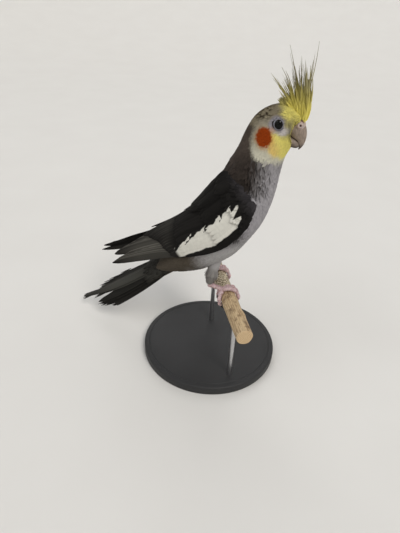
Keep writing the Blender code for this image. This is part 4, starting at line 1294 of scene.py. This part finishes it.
# The long feathers end in two bunches, so that the folded wing has two points.
PRIMARY_TIPS = np.array(
    [
        (7.00, 0.13), (6.94, 0.17), (6.84, 0.22), (6.68, 0.28), (6.45, 0.35),
        (6.92, 0.60), (6.82, 0.66), (6.62, 0.72), (6.34, 0.78), (6.00, 0.84),
    ]
)

# Each tier of a wing: how many feathers, the places of its lowest and its highest root, those of its tips,
# the half width, how far its tips stand out, how ragged it is, and 1 where they are long and grey.
WING_TIERS = {
    "primary": (10, ((3.5, 0.08), (4.0, 0.60)), PRIMARY_TIPS, 3.6, 0.45, 0.10, 1.0),
    "secondary": (14, ((2.9, 0.06), (2.9, 0.92)), ((4.40, 0.06), (5.65, 0.95)), 3.9, 1.3, 0.08, 0.25),
    "greater": (15, ((2.1, 0.04), (1.9, 0.94)), ((3.90, 0.03), (4.2, 0.93)), 3.3, 1.8, 0.10, 0.1),
    "median": (13, ((1.0, 0.06), (0.9, 0.94)), ((2.6, 0.05), (2.9, 0.92)), 3.1, 2.2, 0.12, 0.0),
}
# The left wing's primaries keep only a tenth of their grey and pale edges: painted shade on the far wing.
SHADED_LEFT_PRIMARY_GREY = 0.1
# The shoulder's rows: where each starts and ends, how many feathers it has, and its lower edge.
SHOULDER_ROWS = ((0.5, 1.6, 9, 0.80), (1.2, 2.8, 9, 0.80), (2.0, 3.15, 8, 0.84))


def evenly(ends, count):
    """Places in a row from the first to the last, or the places themselves where all are given."""
    ends = np.array(ends, float)
    return ends if len(ends) == count else ends[0] + (ends[1] - ends[0]) * np.linspace(0, 1, count)[:, None]


def wing_coat(finish):
    """The tiers of long feathers of both wings, and the coverts and shoulder feathers over them."""
    for word, side in SIDES:
        surface = wing_surface(side)
        batches = []
        for name, (count, roots, tips, half, out, fray, grey) in WING_TIERS.items():
            root, tip = evenly(roots, count), evenly(tips, count)
            # On the left wing the primaries are painted darker, as shade.
            if name == "primary" and side > 0:
                tip = tip * (1, 0.6) + LEFT_REACH
                grey = SHADED_LEFT_PRIMARY_GREY
            if name == "secondary":
                tip[:, 0] = tips[0][0] + (tips[1][0] - tips[0][0]) * np.linspace(0, 1, count) ** 1.2
            tip = tip + (rng.random((count, 2)) - 0.5) * (0.08, 0.015)
            middles = surface(*((root + tip) / 2).T, np.zeros(count))
            pitch = np.linalg.norm(np.gradient(middles, axis=0), axis=1)
            lean = np.arcsin(np.minimum(0.5, 0.42 / np.maximum(pitch, 0.5)))
            batches.append(
                vanes(surface, root, tip, half, (-1.6, out), LONG_STATIONS, LONG_SHAPE, vane_ring(7), 0.30,
                      0.10, lean, fray=fray, fold=chart(root, tip, LONG_STATIONS, grey), steps=(0.04, 0.04),
                      charted=True)
            )
        feather_piece(
            f"wing_feathers_{word}", batches, finish, "dark_feathers", lambda root: root / 9,
            (f"wing_{word}",)
        )

        # The small coverts in rows over the arm, then the long soft feathers of the shoulder.
        places, speed = scatter(
            surface, np.linspace(0.05, 1.15, 60), np.linspace(0.02, 1.0, 60),
            lambda a, b: 1.5 + 1.1 * soft_step(a, 0.2, 1.8)
        )
        count = len(places)
        length = (5.5 + 3.5 * soft_step(places[:, 0], 0.2, 1.8)) * (0.85 + 0.3 * rng.random(count))
        tip = places + np.stack([length / speed, (rng.random(count) - 0.5) * 0.04 + 0.02], 1)
        rise = np.stack([np.full(count, -1.2), 2.4 + 0.5 * rng.random(count) - 0.9 * (places[:, 0] < 0.3)], 1)
        half = 1.45 + 0.95 * soft_step(places[:, 0], 0.2, 1.8)
        fold = chart(places, tip, SHORT_STATIONS, 0.0)
        small = vanes(surface, places, tip, half, rise, SHORT_STATIONS, SHORT_SHAPE, vane_ring(5), 0.2, 0.16,
                      (rng.random(count) - 0.5) * 0.2, fray=0.12, fold=fold, steps=(0.04, 0.04), charted=True)

        rows = []
        for s0, s1, n, v0 in SHOULDER_ROWS:
            share = np.linspace(0, 1, n)
            start = np.stack([np.full(n, s0) + 0.1 * rng.random(n), v0 + (1.06 - v0) * share], 1)
            stop = np.stack([np.full(n, s1) + 0.35 * rng.random(n), v0 + 0.02 + (1.02 - v0) * share], 1)
            rows.append(np.stack([start, stop], 1))
        rows = np.concatenate(rows)
        count = len(rows)
        rise = np.stack([np.full(count, 0.2), 2.9 + 0.5 * rng.random(count)], 1)
        fold = chart(rows[:, 0], rows[:, 1], SHORT_STATIONS, 0.0)
        shoulder = vanes(surface, rows[:, 0], rows[:, 1], 3.4, rise, SHORT_STATIONS, SHORT_SHAPE,
                         vane_ring(7), 0.25, 0.14, (rng.random(count) - 0.5) * 0.15, fray=0.15, fold=fold,
                         steps=(0.04, 0.04), charted=True)
        feather_piece(
            f"coverts_{word}", [small, shoulder], finish, "dark_feathers",
            lambda root: np.clip(root / 4, 0.005, 0.995)
        )


def mantle_coat(finish):
    """The dark feathers of the back, between and over the upper edges of the wings."""
    ends = (4.6, 10.4)
    places, speed = scatter(
        body_surface, np.linspace(*ends, 90), np.linspace(-0.95, 0.95, 60),
        lambda a, b: np.interp(a, ends, (3.4, 2.2))
    )
    s, turn = places.T
    count = len(s)
    length = np.interp(s, ends, (15.0, 8.0)) * (0.85 + 0.3 * rng.random(count))
    half = np.interp(s, ends, (3.3, 2.1))
    tip = np.stack([s - length / speed, turn * 0.92 + (rng.random(count) - 0.5) * 0.08], 1)
    rise = np.stack([np.full(count, -1.2), 0.2 + 0.7 * rng.random(count)], 1)
    batch = vanes(body_surface, places, tip, half, rise, SHORT_STATIONS, SHORT_SHAPE, vane_ring(5), 0.2, 0.14,
                  (rng.random(count) - 0.5) * 0.2, fray=0.15, follow=0.5)
    feather_piece(
        "coat_mantle", [batch], finish, "grey_plumage",
        lambda root: np.stack([0.5 + root[:, 1] / (2 * math.pi), 0.01 + 0.98 * root[:, 0] / 19], 1), soft=0.4,
    )


TAIL_STATIONS = np.array([0, 0.1, 0.22, 0.35, 0.48, 0.6, 0.7, 0.79, 0.87, 0.93, 0.97, 1.0])
TAIL_SHAPE = np.array([0.45, 0.66, 0.82, 0.94, 1.0, 1.0, 0.97, 0.9, 0.76, 0.55, 0.34, 0.10])
# The upper bunch's feathers narrow more towards their tips.
NARROW_SHAPE = TAIL_SHAPE * np.interp(TAIL_STATIONS, (0.5, 0.8, 1.0), (1.0, 0.72, 0.45))
# How far apart the feathers lie in height, the loose strands of each, and how far each bunch is set aside.
TAIL_LAYER = 0.93
TAIL_STRANDS = 5
BUNCH_SHIFT = 2.4


def tail_coat(finish, plumage):
    """The tail's feathers with worn tips, and the coverts all round its root."""
    batches = []
    for pair, length in enumerate(TAIL_LENGTHS):
        for side in (-1, 1):
            place = pair + (0.0 if side < 0 else 0.45)
            start = np.array([[2.0, side * (0.8 + pair * TAIL_ROOT_STEP)]])
            # The tips part into two bunches, the upper one of narrower, more worn feathers.
            lower = side < 0 and pair > 1
            bunch = -BUNCH_SHIFT if lower else BUNCH_SHIFT
            stop = np.array([[length, side * (0.8 + pair * TAIL_TIP_STEP) + bunch]])
            shape = TAIL_SHAPE if lower else NARROW_SHAPE
            rise = np.array([[-place * TAIL_LAYER, -place * TAIL_LAYER - 0.35 * pair]])
            fold = np.zeros((1, len(TAIL_STATIONS), 3))
            fold[..., 0], fold[..., 1] = TAIL_STATIONS, pair
            half = 4.5 if lower else 3.8
            batches.append(
                vanes(tail_point, start, stop, half, rise, TAIL_STATIONS, shape, vane_ring(9), 0.34, 0.05,
                      lean=-side * 0.05, web=-0.18 * side * min(pair, 3) / 3, fray=0.16, fold=fold,
                      steps=(0.5, 0.5), curve=1.0)
            )
            # Worn, split tips.
            out = (rng.random(TAIL_STRANDS) - 0.5) * 5.5
            begin = np.stack([length - 16 - 8 * rng.random(TAIL_STRANDS), stop[0, 1] + out * 0.7], 1)
            reach = np.minimum(length + 4.0 - 9 * rng.random(TAIL_STRANDS), TAIL_LENGTHS[0])
            end = np.stack([reach, stop[0, 1] + out * 1.2], 1)
            fold = np.zeros((TAIL_STRANDS, len(SHORT_STATIONS), 3))
            fold[..., 0], fold[..., 1] = 0.9, pair
            over = rise[0, 1]
            batches.append(
                vanes(tail_point, begin, end, 0.65, (over + 0.1, over - 0.1), SHORT_STATIONS, SHORT_SHAPE,
                      vane_ring(5), 0.25, 0.1, fray=0.4, fold=fold, steps=(0.5, 0.5), curve=1.0)
            )
    feather_piece("tail_feathers", batches, finish, "dark_feathers",
                  lambda root: np.stack([root[:, 0] / 130, 0.5 + root[:, 1] / 60], 1), ("tail",))

    places, _ = scatter(
        rump_surface, np.linspace(-3, 16, 60), angles(80, 0.5), lambda a, b: np.full_like(a, 2.6)
    )
    count = len(places)
    length = (10 + 6 * soft_step(places[:, 0], 0, 16)) * (0.8 + 0.4 * rng.random(count))
    upper = np.sin(places[:, 1]) > -0.15
    tip = np.stack([np.minimum(places[:, 0] + length, 22 + 12 * upper), places[:, 1]], 1)
    rise = np.stack([np.full(count, -0.8), 0.3 + 0.5 * rng.random(count)], 1)
    batch = vanes(rump_surface, places, tip, 2.5, rise, SHORT_STATIONS, SHORT_SHAPE, vane_ring(5), 0.2, 0.14,
                  (rng.random(count) - 0.5) * 0.15, fray=0.2, follow=0.6, steps=(0.5, 0.05))
    for name, cut, look in (("tail_coverts", upper, finish), ("vent_coverts", ~upper, plumage)):
        part = {key: value if key in ("along", "across") else value[cut] for key, value in batch.items()}
        part["vane"] = part["vane"] * (1, 1, 0.4) + (0, 0, 0.3)
        if name == "tail_coverts":
            fold = np.zeros_like(part["points"])
            fold[..., 1] = 1.2
            part["fold"] = fold
        feather_piece(name, [part], look, "dark_feathers",
                      lambda root: np.stack([turn_share(root[:, 1]), 0.1 + root[:, 0] / 50], 1),
                      soft=0.75)


# The crest's plumes: root, tip, and half width.
CREST_FEATHERS = (
    ((40.2, 0.0, 146.6), (39.8, 0.6, 171.0), 1.9),
    ((39.6, 1.7, 147.2), (39.4, 3.0, 167.5), 1.8),
    ((39.6, -1.7, 147.2), (39.0, -3.0, 166.5), 1.9),
    ((38.8, 0.6, 148.4), (37.6, 0.6, 176.0), 1.9),
    ((38.4, -1.5, 148.8), (36.6, -2.4, 172.0), 2.0),
    ((37.8, 2.0, 149.4), (35.8, 3.2, 174.5), 1.8),
    ((37.2, -0.4, 150.2), (34.2, -0.4, 179.0), 1.8),
    ((36.4, 1.0, 150.8), (40.3, 1.4, 189.0), 1.1),
    ((36.0, -2.0, 150.8), (32.6, -3.2, 171.0), 1.7),
    ((35.2, -0.6, 151.8), (31.6, 0.2, 181.0), 1.2),
    ((34.8, 1.2, 151.8), (23.4, 1.6, 186.2), 1.0),
    ((34.0, -1.4, 152.2), (28.8, -2.2, 175.0), 1.2),
    ((33.2, 1.2, 152.5), (26.6, 2.6, 172.5), 1.1),
    ((32.4, -1.8, 152.6), (23.9, -3.0, 172.5), 1.0),
    ((31.6, -0.6, 152.9), (20.7, -0.4, 173.8), 1.2),
    ((30.8, -1.8, 153.0), (14.8, -2.2, 170.4), 0.9),
    ((30.2, 1.2, 153.0), (21.8, 2.2, 166.0), 1.0),
    ((29.6, -2.4, 152.6), (21.0, -3.2, 161.2), 0.9),
    ((28.8, 0.2, 153.4), (20.4, -0.6, 163.0), 0.9),
)
# How many loose strands lie beside each plume, how many short feathers make the bed, and their outline.
CREST_STRANDS = 14
CREST_BED = 620
CREST_STATIONS = (0, 0.12, 0.28, 0.45, 0.62, 0.78, 0.9, 1.0)
CREST_SHAPE = (0.5, 0.85, 1.0, 0.95, 0.75, 0.5, 0.3, 0.06)
# The head's top under the crest: x, and z there.
BED_HEIGHTS = ((24.5, 30.0, 36.0, 38.8, 41.0), (153.0, 152.2, 149.8, 147.6, 145.6))


def crest_coat(finish):
    """Each crest feather as a narrow vane with loose strands beside it, over a bed of short yellow ones."""
    lines, halves = [], []
    for root, tip, half in CREST_FEATHERS:
        root, tip = np.array(root), np.array(tip)
        start = root - unit(tip - root) * 2.0
        lines.append((start, tip))
        halves.append(half * 0.40)
        for _ in range(CREST_STRANDS):
            aim = root + (tip - root) * (0.4 + 0.5 * rng.random()) + (rng.random(3) - 0.5) * (2.6, 3.0, 1.0)
            lines.append((start + (rng.random(3) - 0.5) * (2.0, 2.4, 0.5), aim))
            halves.append(half * (0.13 + 0.12 * rng.random()))
    for _ in range(CREST_BED):
        share = rng.random()
        x = 24.5 + 16.2 * share
        y = (rng.random() - 0.5) * 7.5
        z = np.interp(x, *BED_HEIGHTS) - 0.07 * y * y
        lean = np.array([-1.5 + 1.54 * share ** 0.55, y * 0.05, 1.0])
        lean = lean + (rng.random(3) - 0.5) * (0.4, 0.4, 0.0)
        lean[0] = min(lean[0], 0.02)
        root = np.array([x, y, z])
        aim = root + unit(lean) * (2.6 + 2.4 * share + (2.5 + 6.5 * share) * rng.random() ** 1.5)
        lines.append((root - unit(lean) * 1.5, aim))
        halves.append(0.32 + 0.25 * rng.random())
    lines, halves = np.array(lines), np.array(halves)
    count = len(lines)
    bow = np.zeros((count, 3))
    bow[:, 0] = rng.random(count) * 0.06 + 0.01
    faces = np.tile(unit((0.35, -0.9, 0.1)), (count, 1))
    batch = line_feathers(
        lines, bow, faces, halves, CREST_STATIONS, CREST_SHAPE,
        ring=vane_ring(5), thick=0.22, camber=0.25, fray=0.35, lean=(rng.random(count) - 0.5) * 1.4,
    )

    def unwrap(root):
        x, y, _ = lines[root[:, 0].astype(int), 0].T
        return np.stack([0.05 + 0.9 * (x - 24) / 18, 0.5 + y / 12], 1)

    feather_piece("crest_feathers", [batch], finish, "crest_feathers", unwrap, ("crest",))


# How far the eyelid's long axis leans, and how wide and tall the lid is against a round one.
LID_TILT = math.radians(18)
LID_SHAPE = (0.90, 1.10)


def build_eyes(finish, lid):
    """The eyeballs, and the lids round them."""
    for word, side in SIDES:
        outward = unit(mirrored(EYE_OUT, side))
        across = unit(np.cross(outward, (0, 0, 1)))
        up = np.cross(across, outward)
        turn = np.stack([across, up, outward], 1)
        made = ball(f"eyeball_{word}", mirrored(EYE_PLACE, side), (EYE_RADIUS,) * 3, 40, 48, turn)
        gaze = unit(places_of(made) - mirrored(EYE_PLACE, side)) @ outward
        set_attribute(made, "spot", np.stack([gaze, 0 * gaze, 0 * gaze], 1))
        settle(made, finish, "eye", f"eye_{word}")
        # The lid is a soft ring of fine beads. Its long axis leans back at the top.
        rings, sides = 120, 20
        around = np.linspace(0, 2 * math.pi, rings, endpoint=False)[:, None]
        bend = angles(sides)[None]
        long_way = up * math.cos(LID_TILT) - side * across * math.sin(LID_TILT)
        short_way = across * math.cos(LID_TILT) + side * up * math.sin(LID_TILT)
        radial = short_way * np.cos(around) * LID_SHAPE[0] + long_way * np.sin(around) * LID_SHAPE[1]
        bead = 1 + 0.10 * np.abs(np.sin(around * 24)) * np.maximum(np.cos(bend), -0.2)
        centre = mirrored(EYE_PLACE, side) + outward * EYE_RADIUS * 0.69
        points = centre + radial[:, None] * (LID_RING + 0.48 * bead * np.cos(bend))[..., None]
        points = points + outward * (0.50 * bead * np.sin(bend) - 0.10 * np.cos(bend))[..., None]
        faces = grid_faces(rings + 1, sides) % (rings * sides)
        made = outwards(write_mesh(f"eyelid_{word}", points.reshape(-1, 3), [faces]))
        settle(made, lid, "bare_skin")


# The bill's rows from its root to its tip: the ridge, the cutting edge and the half width.
UPPER_BILL = (
    (33.0, 145.2, 30.0, 136.2, 4.6), (34.5, 145.0, 31.0, 135.5, 4.8), (38.6, 143.6, 32.6, 134.2, 5.0),
    (41.2, 141.0, 34.2, 133.2, 4.6), (42.4, 137.6, 35.8, 132.4, 3.9), (42.7, 134.0, 37.2, 131.2, 3.1),
    (42.2, 130.6, 38.2, 129.6, 2.2), (41.0, 127.9, 38.8, 127.6, 1.2), (39.4, 125.9, 38.7, 125.9, 0.5),
)
LOWER_BILL = (
    (31.0, 135.0, 30.4, 128.4, 4.3), (33.4, 133.8, 32.4, 127.4, 4.3), (35.8, 132.6, 35.0, 126.6, 3.9),
    (37.8, 131.2, 37.4, 126.6, 3.0), (39.0, 129.6, 38.9, 127.5, 1.6),
)
CERE_RADII = np.array([3.5, 4.9, 3.7])


def bill_rings(rows, count, share, wide, notch=0.0):
    """Rings from the ridge (share 0) to the edge (share 1) and back. notch lifts the edge."""
    r = spline(rows, np.linspace(0, len(rows) - 1, count))
    ridge = np.stack([r[:, 0], 0 * r[:, 0], r[:, 1]], 1)[:, None]
    edge = np.stack([r[:, 2], 0 * r[:, 2], r[:, 3] + notch], 1)[:, None]
    points = ridge + (edge - ridge) * share[None, :, None]
    points[..., 1] += r[:, 4:] * wide[None]
    return points


def build_bill(horn, skin):
    """The hooked upper bill with its cutting edge, the lower bill, and the cere with its nostrils."""
    turn = angles(40)
    share = (1 - np.cos(turn)) / 2
    wide = np.sign(np.sin(turn)) * np.abs(np.sin(turn)) ** 0.8 * (0.75 + 0.25 * share)
    # The cutting edge has a shallow notch behind the hook.
    notch = 0.35 * np.exp(-((np.linspace(0, 1, 60) - 0.62) ** 2) / 0.004)
    upper = closed_grid("bill_upper_horn", bill_rings(UPPER_BILL, 60, share, wide, notch))
    settle(upper, horn, "bill_horn", "bill_upper")
    lower = closed_grid("bill_lower_horn", bill_rings(LOWER_BILL, 30, share, np.sin(turn)))
    settle(lower, horn, "bill_horn", "bill_lower")

    cere = ball("cere_skin", CERE_PLACE, CERE_RADII, 90, 120)
    places = places_of(cere)
    hollow = np.zeros(len(places))
    for side in (-1, 1):
        toward = mirrored(NOSTRIL, side)
        nostril = np.array(CERE_PLACE) + toward / np.linalg.norm(toward / CERE_RADII)
        away = np.linalg.norm(places - nostril, axis=1)
        places -= unit(toward) * (np.exp(-((away / 0.62) ** 2)) * 1.3)[:, None]
        places += unit(toward) * (np.exp(-(((away - 1.4) / 0.7) ** 2)) * 0.12)[:, None]
        # Each dent is marked for a painted dark, the shade inside the nostril.
        hollow = np.maximum(hollow, np.exp(-((away / 0.72) ** 4)))
    set_attribute(cere, "hollow", np.stack([hollow, hollow, hollow], 1))
    cere.data.vertices.foreach_set("co", metres(places).astype(np.float32).ravel())
    cere.data.update()
    settle(cere, skin, "bare_skin", "cere")


# The claw's radius at shares of its length.
CLAW_SHARES = (-0.12, 0, 0.25, 0.5, 0.75, 0.95, 1)
CLAW_RADII = (0.8, 0.95, 0.9, 0.72, 0.48, 0.24, 0.08)


def build_feet(skin, claw):
    """The feet, each with two toes before the branch and two behind it, and their claws."""
    for word, place in FOOT_PLACES.items():
        spot = round_branch(place, 0, BRANCH_RADIUS)
        clear = BRANCH_RADIUS + 0.32
        heel = spot + HEELS[word]
        palm = round_branch(place, PALM, clear + 2.2)

        def scutes(reach, turn):
            """The height of the scales along a toe, highest on its top."""
            return 0.20 * (np.abs(np.sin(math.pi * reach / 1.25)) ** 0.6 - 0.5) * (0.45 + 0.55 * np.sin(turn))

        line = [
            heel + (heel - palm) * 0.1, heel, heel + (palm - heel) * 0.5, palm,
            round_branch(place, 0, clear + 1.7)
        ]
        along = np.linspace(0, 4, 70)
        thick = spline([1.3, 2.2, 1.85, 2.2, 1.75], along)
        parts = [tube(f"foot_skin_{word}", spline(line, along), thick, 28, lump=scutes)]
        for name, shift, start, end, radius in TOES:
            count = int(abs(end - start) * 0.9)
            centres, radii = [], []
            for t in np.linspace(0, 1, count):
                size = TOE_RADIUS + (radius - TOE_RADIUS) * t + 0.30 * math.sin(t * 3 * math.pi) ** 2
                beside = place + shift * min(1, 0.35 + 1.3 * t)
                centres.append(round_branch(beside, start + (end - start) * t, clear + size))
                radii.append(size)
            parts.append(tube("toe", centres, radii, 24, lump=scutes))
            turn = 1 if end > 0 else -1
            line, thick = [], []
            for t in np.linspace(-0.12, 1, 26):
                degrees = end + turn * (math.degrees(CLAW_LENGTH / (clear + radius)) * t - 3)
                line.append(
                    round_branch(place + shift, degrees, clear + radius + 0.9 * math.sin(t * 2.2) - 0.25 * t)
                )
                thick.append(float(np.interp(t, CLAW_SHARES, CLAW_RADII)))
            made = tube(f"claw_horn_{word}_{name}", line, thick, 18)
            settle(made, claw, "claw_horn", f"claw_{word}_{name}")
        foot = fuse(f"foot_skin_{word}", parts, 0.24, 1)
        settle(foot, skin, "bare_skin", f"foot_{word}")


# The branch's knots: place along it, angle from its top, and height.
KNOTS = ((-44.0, 40.0, 1.5), (-27.0, -70.0, 1.2), (30.0, 120.0, 1.3), (38.0, -35.0, 1.1), (-56.0, 150.0, 1.2))


def build_branch(finish):
    """A short cut length of branch with knots, long ridges and a chewed far end."""
    middle, along, forward = branch_frame()
    rows, sides = 320, 96
    up = np.array([0, 0, 1.0])
    points = []
    for i in range(rows):
        place = BRANCH_NEAR + (BRANCH_FAR - BRANCH_NEAR) * i / (rows - 1)
        end = min(place - BRANCH_NEAR, BRANCH_FAR - place)
        for j in range(sides):
            turn = 2 * math.pi * j / sides
            ring = Vector((math.cos(turn) * 1.8, math.sin(turn) * 1.8, place * 0.05))
            lump = 0.30 * noise.noise(ring) + 0.14 * noise.noise(ring * 3.1)
            rough = Vector((math.cos(turn) * 5, math.sin(turn) * 5, place * 0.55))
            chewed = float(soft_step(place + 6 * noise.noise(rough * 0.3), 6, 12))
            lump += chewed * 0.45 * (noise.noise(rough) - 0.2)
            near_foot = min(abs(place - p) for p in FOOT_PLACES.values())
            lump = min(lump, 0.12) if near_foot < 9 else lump
            for spot, degrees, size in KNOTS:
                swing = math.remainder(turn - math.radians(degrees), 2 * math.pi)
                away = math.hypot(place - spot, swing * BRANCH_RADIUS)
                lump += size * (0.75 * math.exp(-((away / 3.4) ** 2)) - 0.55 * math.exp(-((away / 1.4) ** 2)))
            lump -= 0.5 * math.exp(-end / 0.35)
            radius = BRANCH_RADIUS - 0.12 + lump
            points.append(middle + along * place + radius * (forward * math.sin(turn) + up * math.cos(turn)))
    rings = np.reshape(points, (rows, sides, 3))
    # The sawn ends close with smaller rings.
    near, far = middle + along * BRANCH_NEAR, middle + along * BRANCH_FAR
    shares = (0.1, 0.55, 0.9)
    near_caps = [near + (rings[0] - near) * k for k in shares]
    far_caps = [far + (rings[-1] - far) * k for k in shares[::-1]]
    made = closed_grid("perch_branch", [*near_caps, *rings, *far_caps], 35)
    settle(made, finish, "branch_wood", "branch")


def lathe(profile, sides):
    """Rings of points round an upright axis, from each one's radius and height."""
    turn = angles(sides)
    return np.array(
        [np.stack([r * np.cos(turn), r * np.sin(turn), np.full(sides, z)], 1) for r, z in profile]
    )


def build_base(finish):
    """The round base, turned with a soft edge and a fine groove inside it."""
    profile = [(0.5, 0.0), (BASE_RADIUS - 1.0, 0.0), (BASE_RADIUS - 0.3, 0.3), (BASE_RADIUS, 1.0)]
    for k in range(9):
        turn = math.pi / 2 * k / 8
        profile.append((BASE_RADIUS - 1.6 + 1.6 * math.cos(turn), BASE_THICK - 1.6 + 1.6 * math.sin(turn)))
    profile += [
        (BASE_RADIUS - 4.0, BASE_THICK), (BASE_RADIUS - 4.3, BASE_THICK - 0.3),
        (BASE_RADIUS - 5.0, BASE_THICK - 0.3), (BASE_RADIUS - 5.3, BASE_THICK), (30.0, BASE_THICK),
        (0.5, BASE_THICK),
    ]
    sides = 180
    made = closed_grid("stand_disc", lathe(profile, sides) - (BIRD_FORWARD, 0, BIRD_UP), 40)
    settle(made, finish, "stand_black", "stand_base")


# Where the camera stands, how far it is turned from the bird's side, looks down and is rolled, in degrees,
# and its lens in millimetres.
CAMERA_PLACE = (74.74, -278.02, 201.47)
CAMERA_LEVEL, CAMERA_PITCH, CAMERA_ROLL = 20, 32, 2.8
CAMERA_LENS = 27.69

# The lights: where each comes from, its strength, how wide it looks in degrees, and its colour.
SUNS = {
    "key": ((0.75, -0.55, 1.0), 1.5, 24, (1.0, 0.97, 0.92)),
    "fill": ((-0.7, -0.8, 1.0), 0.65, 40, (0.95, 0.97, 1.0)),
    "back": ((-0.4, 0.9, 0.9), 0.7, 40, (1.0, 1.0, 1.0)),
}


def build_camera():
    """The photograph's angle: from the bird's right and a little behind, looking down."""
    level, pitch, roll = (math.radians(degrees) for degrees in (CAMERA_LEVEL, CAMERA_PITCH, CAMERA_ROLL))
    right = Vector((math.cos(level), math.sin(level), 0))
    ahead = Vector((-math.sin(level), math.cos(level), 0))
    up = math.sin(pitch) * ahead + math.cos(pitch) * Vector((0, 0, 1))
    forward = math.cos(pitch) * ahead - math.sin(pitch) * Vector((0, 0, 1))
    camera_right = math.cos(roll) * right + math.sin(roll) * up
    camera_up = math.cos(roll) * up - math.sin(roll) * right
    data = bpy.data.cameras.new("camera")
    data.lens = CAMERA_LENS
    data.sensor_width = 36
    data.clip_start = 0.01
    camera = bpy.data.objects.new("camera", data)
    turn = Matrix((camera_right, camera_up, -forward)).transposed().to_4x4()
    camera.matrix_world = Matrix.Translation(metres(CAMERA_PLACE)) @ turn
    bpy.context.scene.collection.objects.link(camera)
    bpy.context.scene.camera = camera


def sun_light(name, toward, strength, spread, colour):
    """A light from far off, which is even over the whole floor. toward points from the bird to it."""
    data = bpy.data.lights.new(name, "SUN")
    data.energy = strength
    data.angle = math.radians(spread)
    data.color = colour
    lamp = bpy.data.objects.new(name, data)
    lamp.location = Vector(toward) * 3
    lamp.rotation_euler = Vector(toward).to_track_quat("Z", "Y").to_euler()
    bpy.context.scene.collection.objects.link(lamp)


def build_studio(finish):
    """A pale floor that turns up into a low round wall, and soft light from three sides."""
    flat, far, high, sides = 1.5, 4.4, 2.95, 96
    profile = [(0.02, 0.0), (0.4, 0.0), (0.9, 0.0)]
    for k in range(17):
        turn = math.pi / 2 * k / 16
        profile.append((flat + (far - flat) * math.sin(turn), high * (1 - math.cos(turn))))
    points = lathe(profile, sides).reshape(-1, 3)
    mesh = bpy.data.meshes.new("floor")
    faces = grid_faces(len(profile), sides).tolist() + [list(range(sides))]
    mesh.from_pydata(points.tolist(), [], faces)
    mesh.shade_smooth()
    floor = bpy.data.objects.new("floor", mesh)
    mesh.materials.append(finish)
    bpy.context.scene.collection.objects.link(floor)
    for name, sun in SUNS.items():
        sun_light(name, *sun)
    world = bpy.data.worlds.new("studio")
    world.use_nodes = True
    world.node_tree.nodes["Background"].inputs["Color"].default_value = (0.97, 0.98, 1.0, 1.0)
    world.node_tree.nodes["Background"].inputs["Strength"].default_value = 0.45
    bpy.context.scene.world = world
    bpy.context.scene.view_settings.view_transform = "Standard"


def main():
    """Everything in turn: the camera, the finishes, the bird, and its stand in the studio."""
    build_camera()
    plumage = plumage_finish("plumage")
    skin = build_skin(plumage)
    trees = []
    for _, side in SIDES:
        core = wing_core(side, 0.0)
        trees.append(BVHTree.FromPolygons(core.reshape(-1, 3).tolist(), grid_faces(*core.shape[:2]).tolist()))
    body_coat(plumage, trees)
    lore_coat(skin, plumage)
    mantle_coat(plumage)
    thigh_coat(plumage)
    wing_coat(wing_finish())
    tail_coat(tail_finish(), plumage)
    crest_coat(crest_finish())
    build_eyes(eye_finish(), bare_finish("eyelid", (0.200, 0.188, 0.215), (0.120, 0.110, 0.125), 2.2, 0.05))
    horn = horn_finish("bill_horn", (0.300, 0.240, 0.195), (0.195, 0.150, 0.122), (0.050, 0.038, 0.032))
    cere = bare_finish("cere_skin", (0.50, 0.39, 0.345), (0.40, 0.31, 0.28), 1.1, 0.06)
    build_bill(horn, cere)
    toes = bare_finish(
        "foot_skin", (0.62, 0.445, 0.455), (0.36, 0.225, 0.235), 1.0, 0.16, (0.12, 0.066, 0.068)
    )
    claws = horn_finish("claw_horn", (0.045, 0.035, 0.032), (0.022, 0.018, 0.017), (0.02, 0.016, 0.015))
    build_feet(toes, claws)
    build_branch(wood_finish())
    build_base(stand_finish())
    rod = rod_finish()
    for name in ("stand_rod_near", "stand_rod_far"):
        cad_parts[name].data.materials.clear()
        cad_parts[name].data.materials.append(rod)
    build_studio(floor_finish())


main()
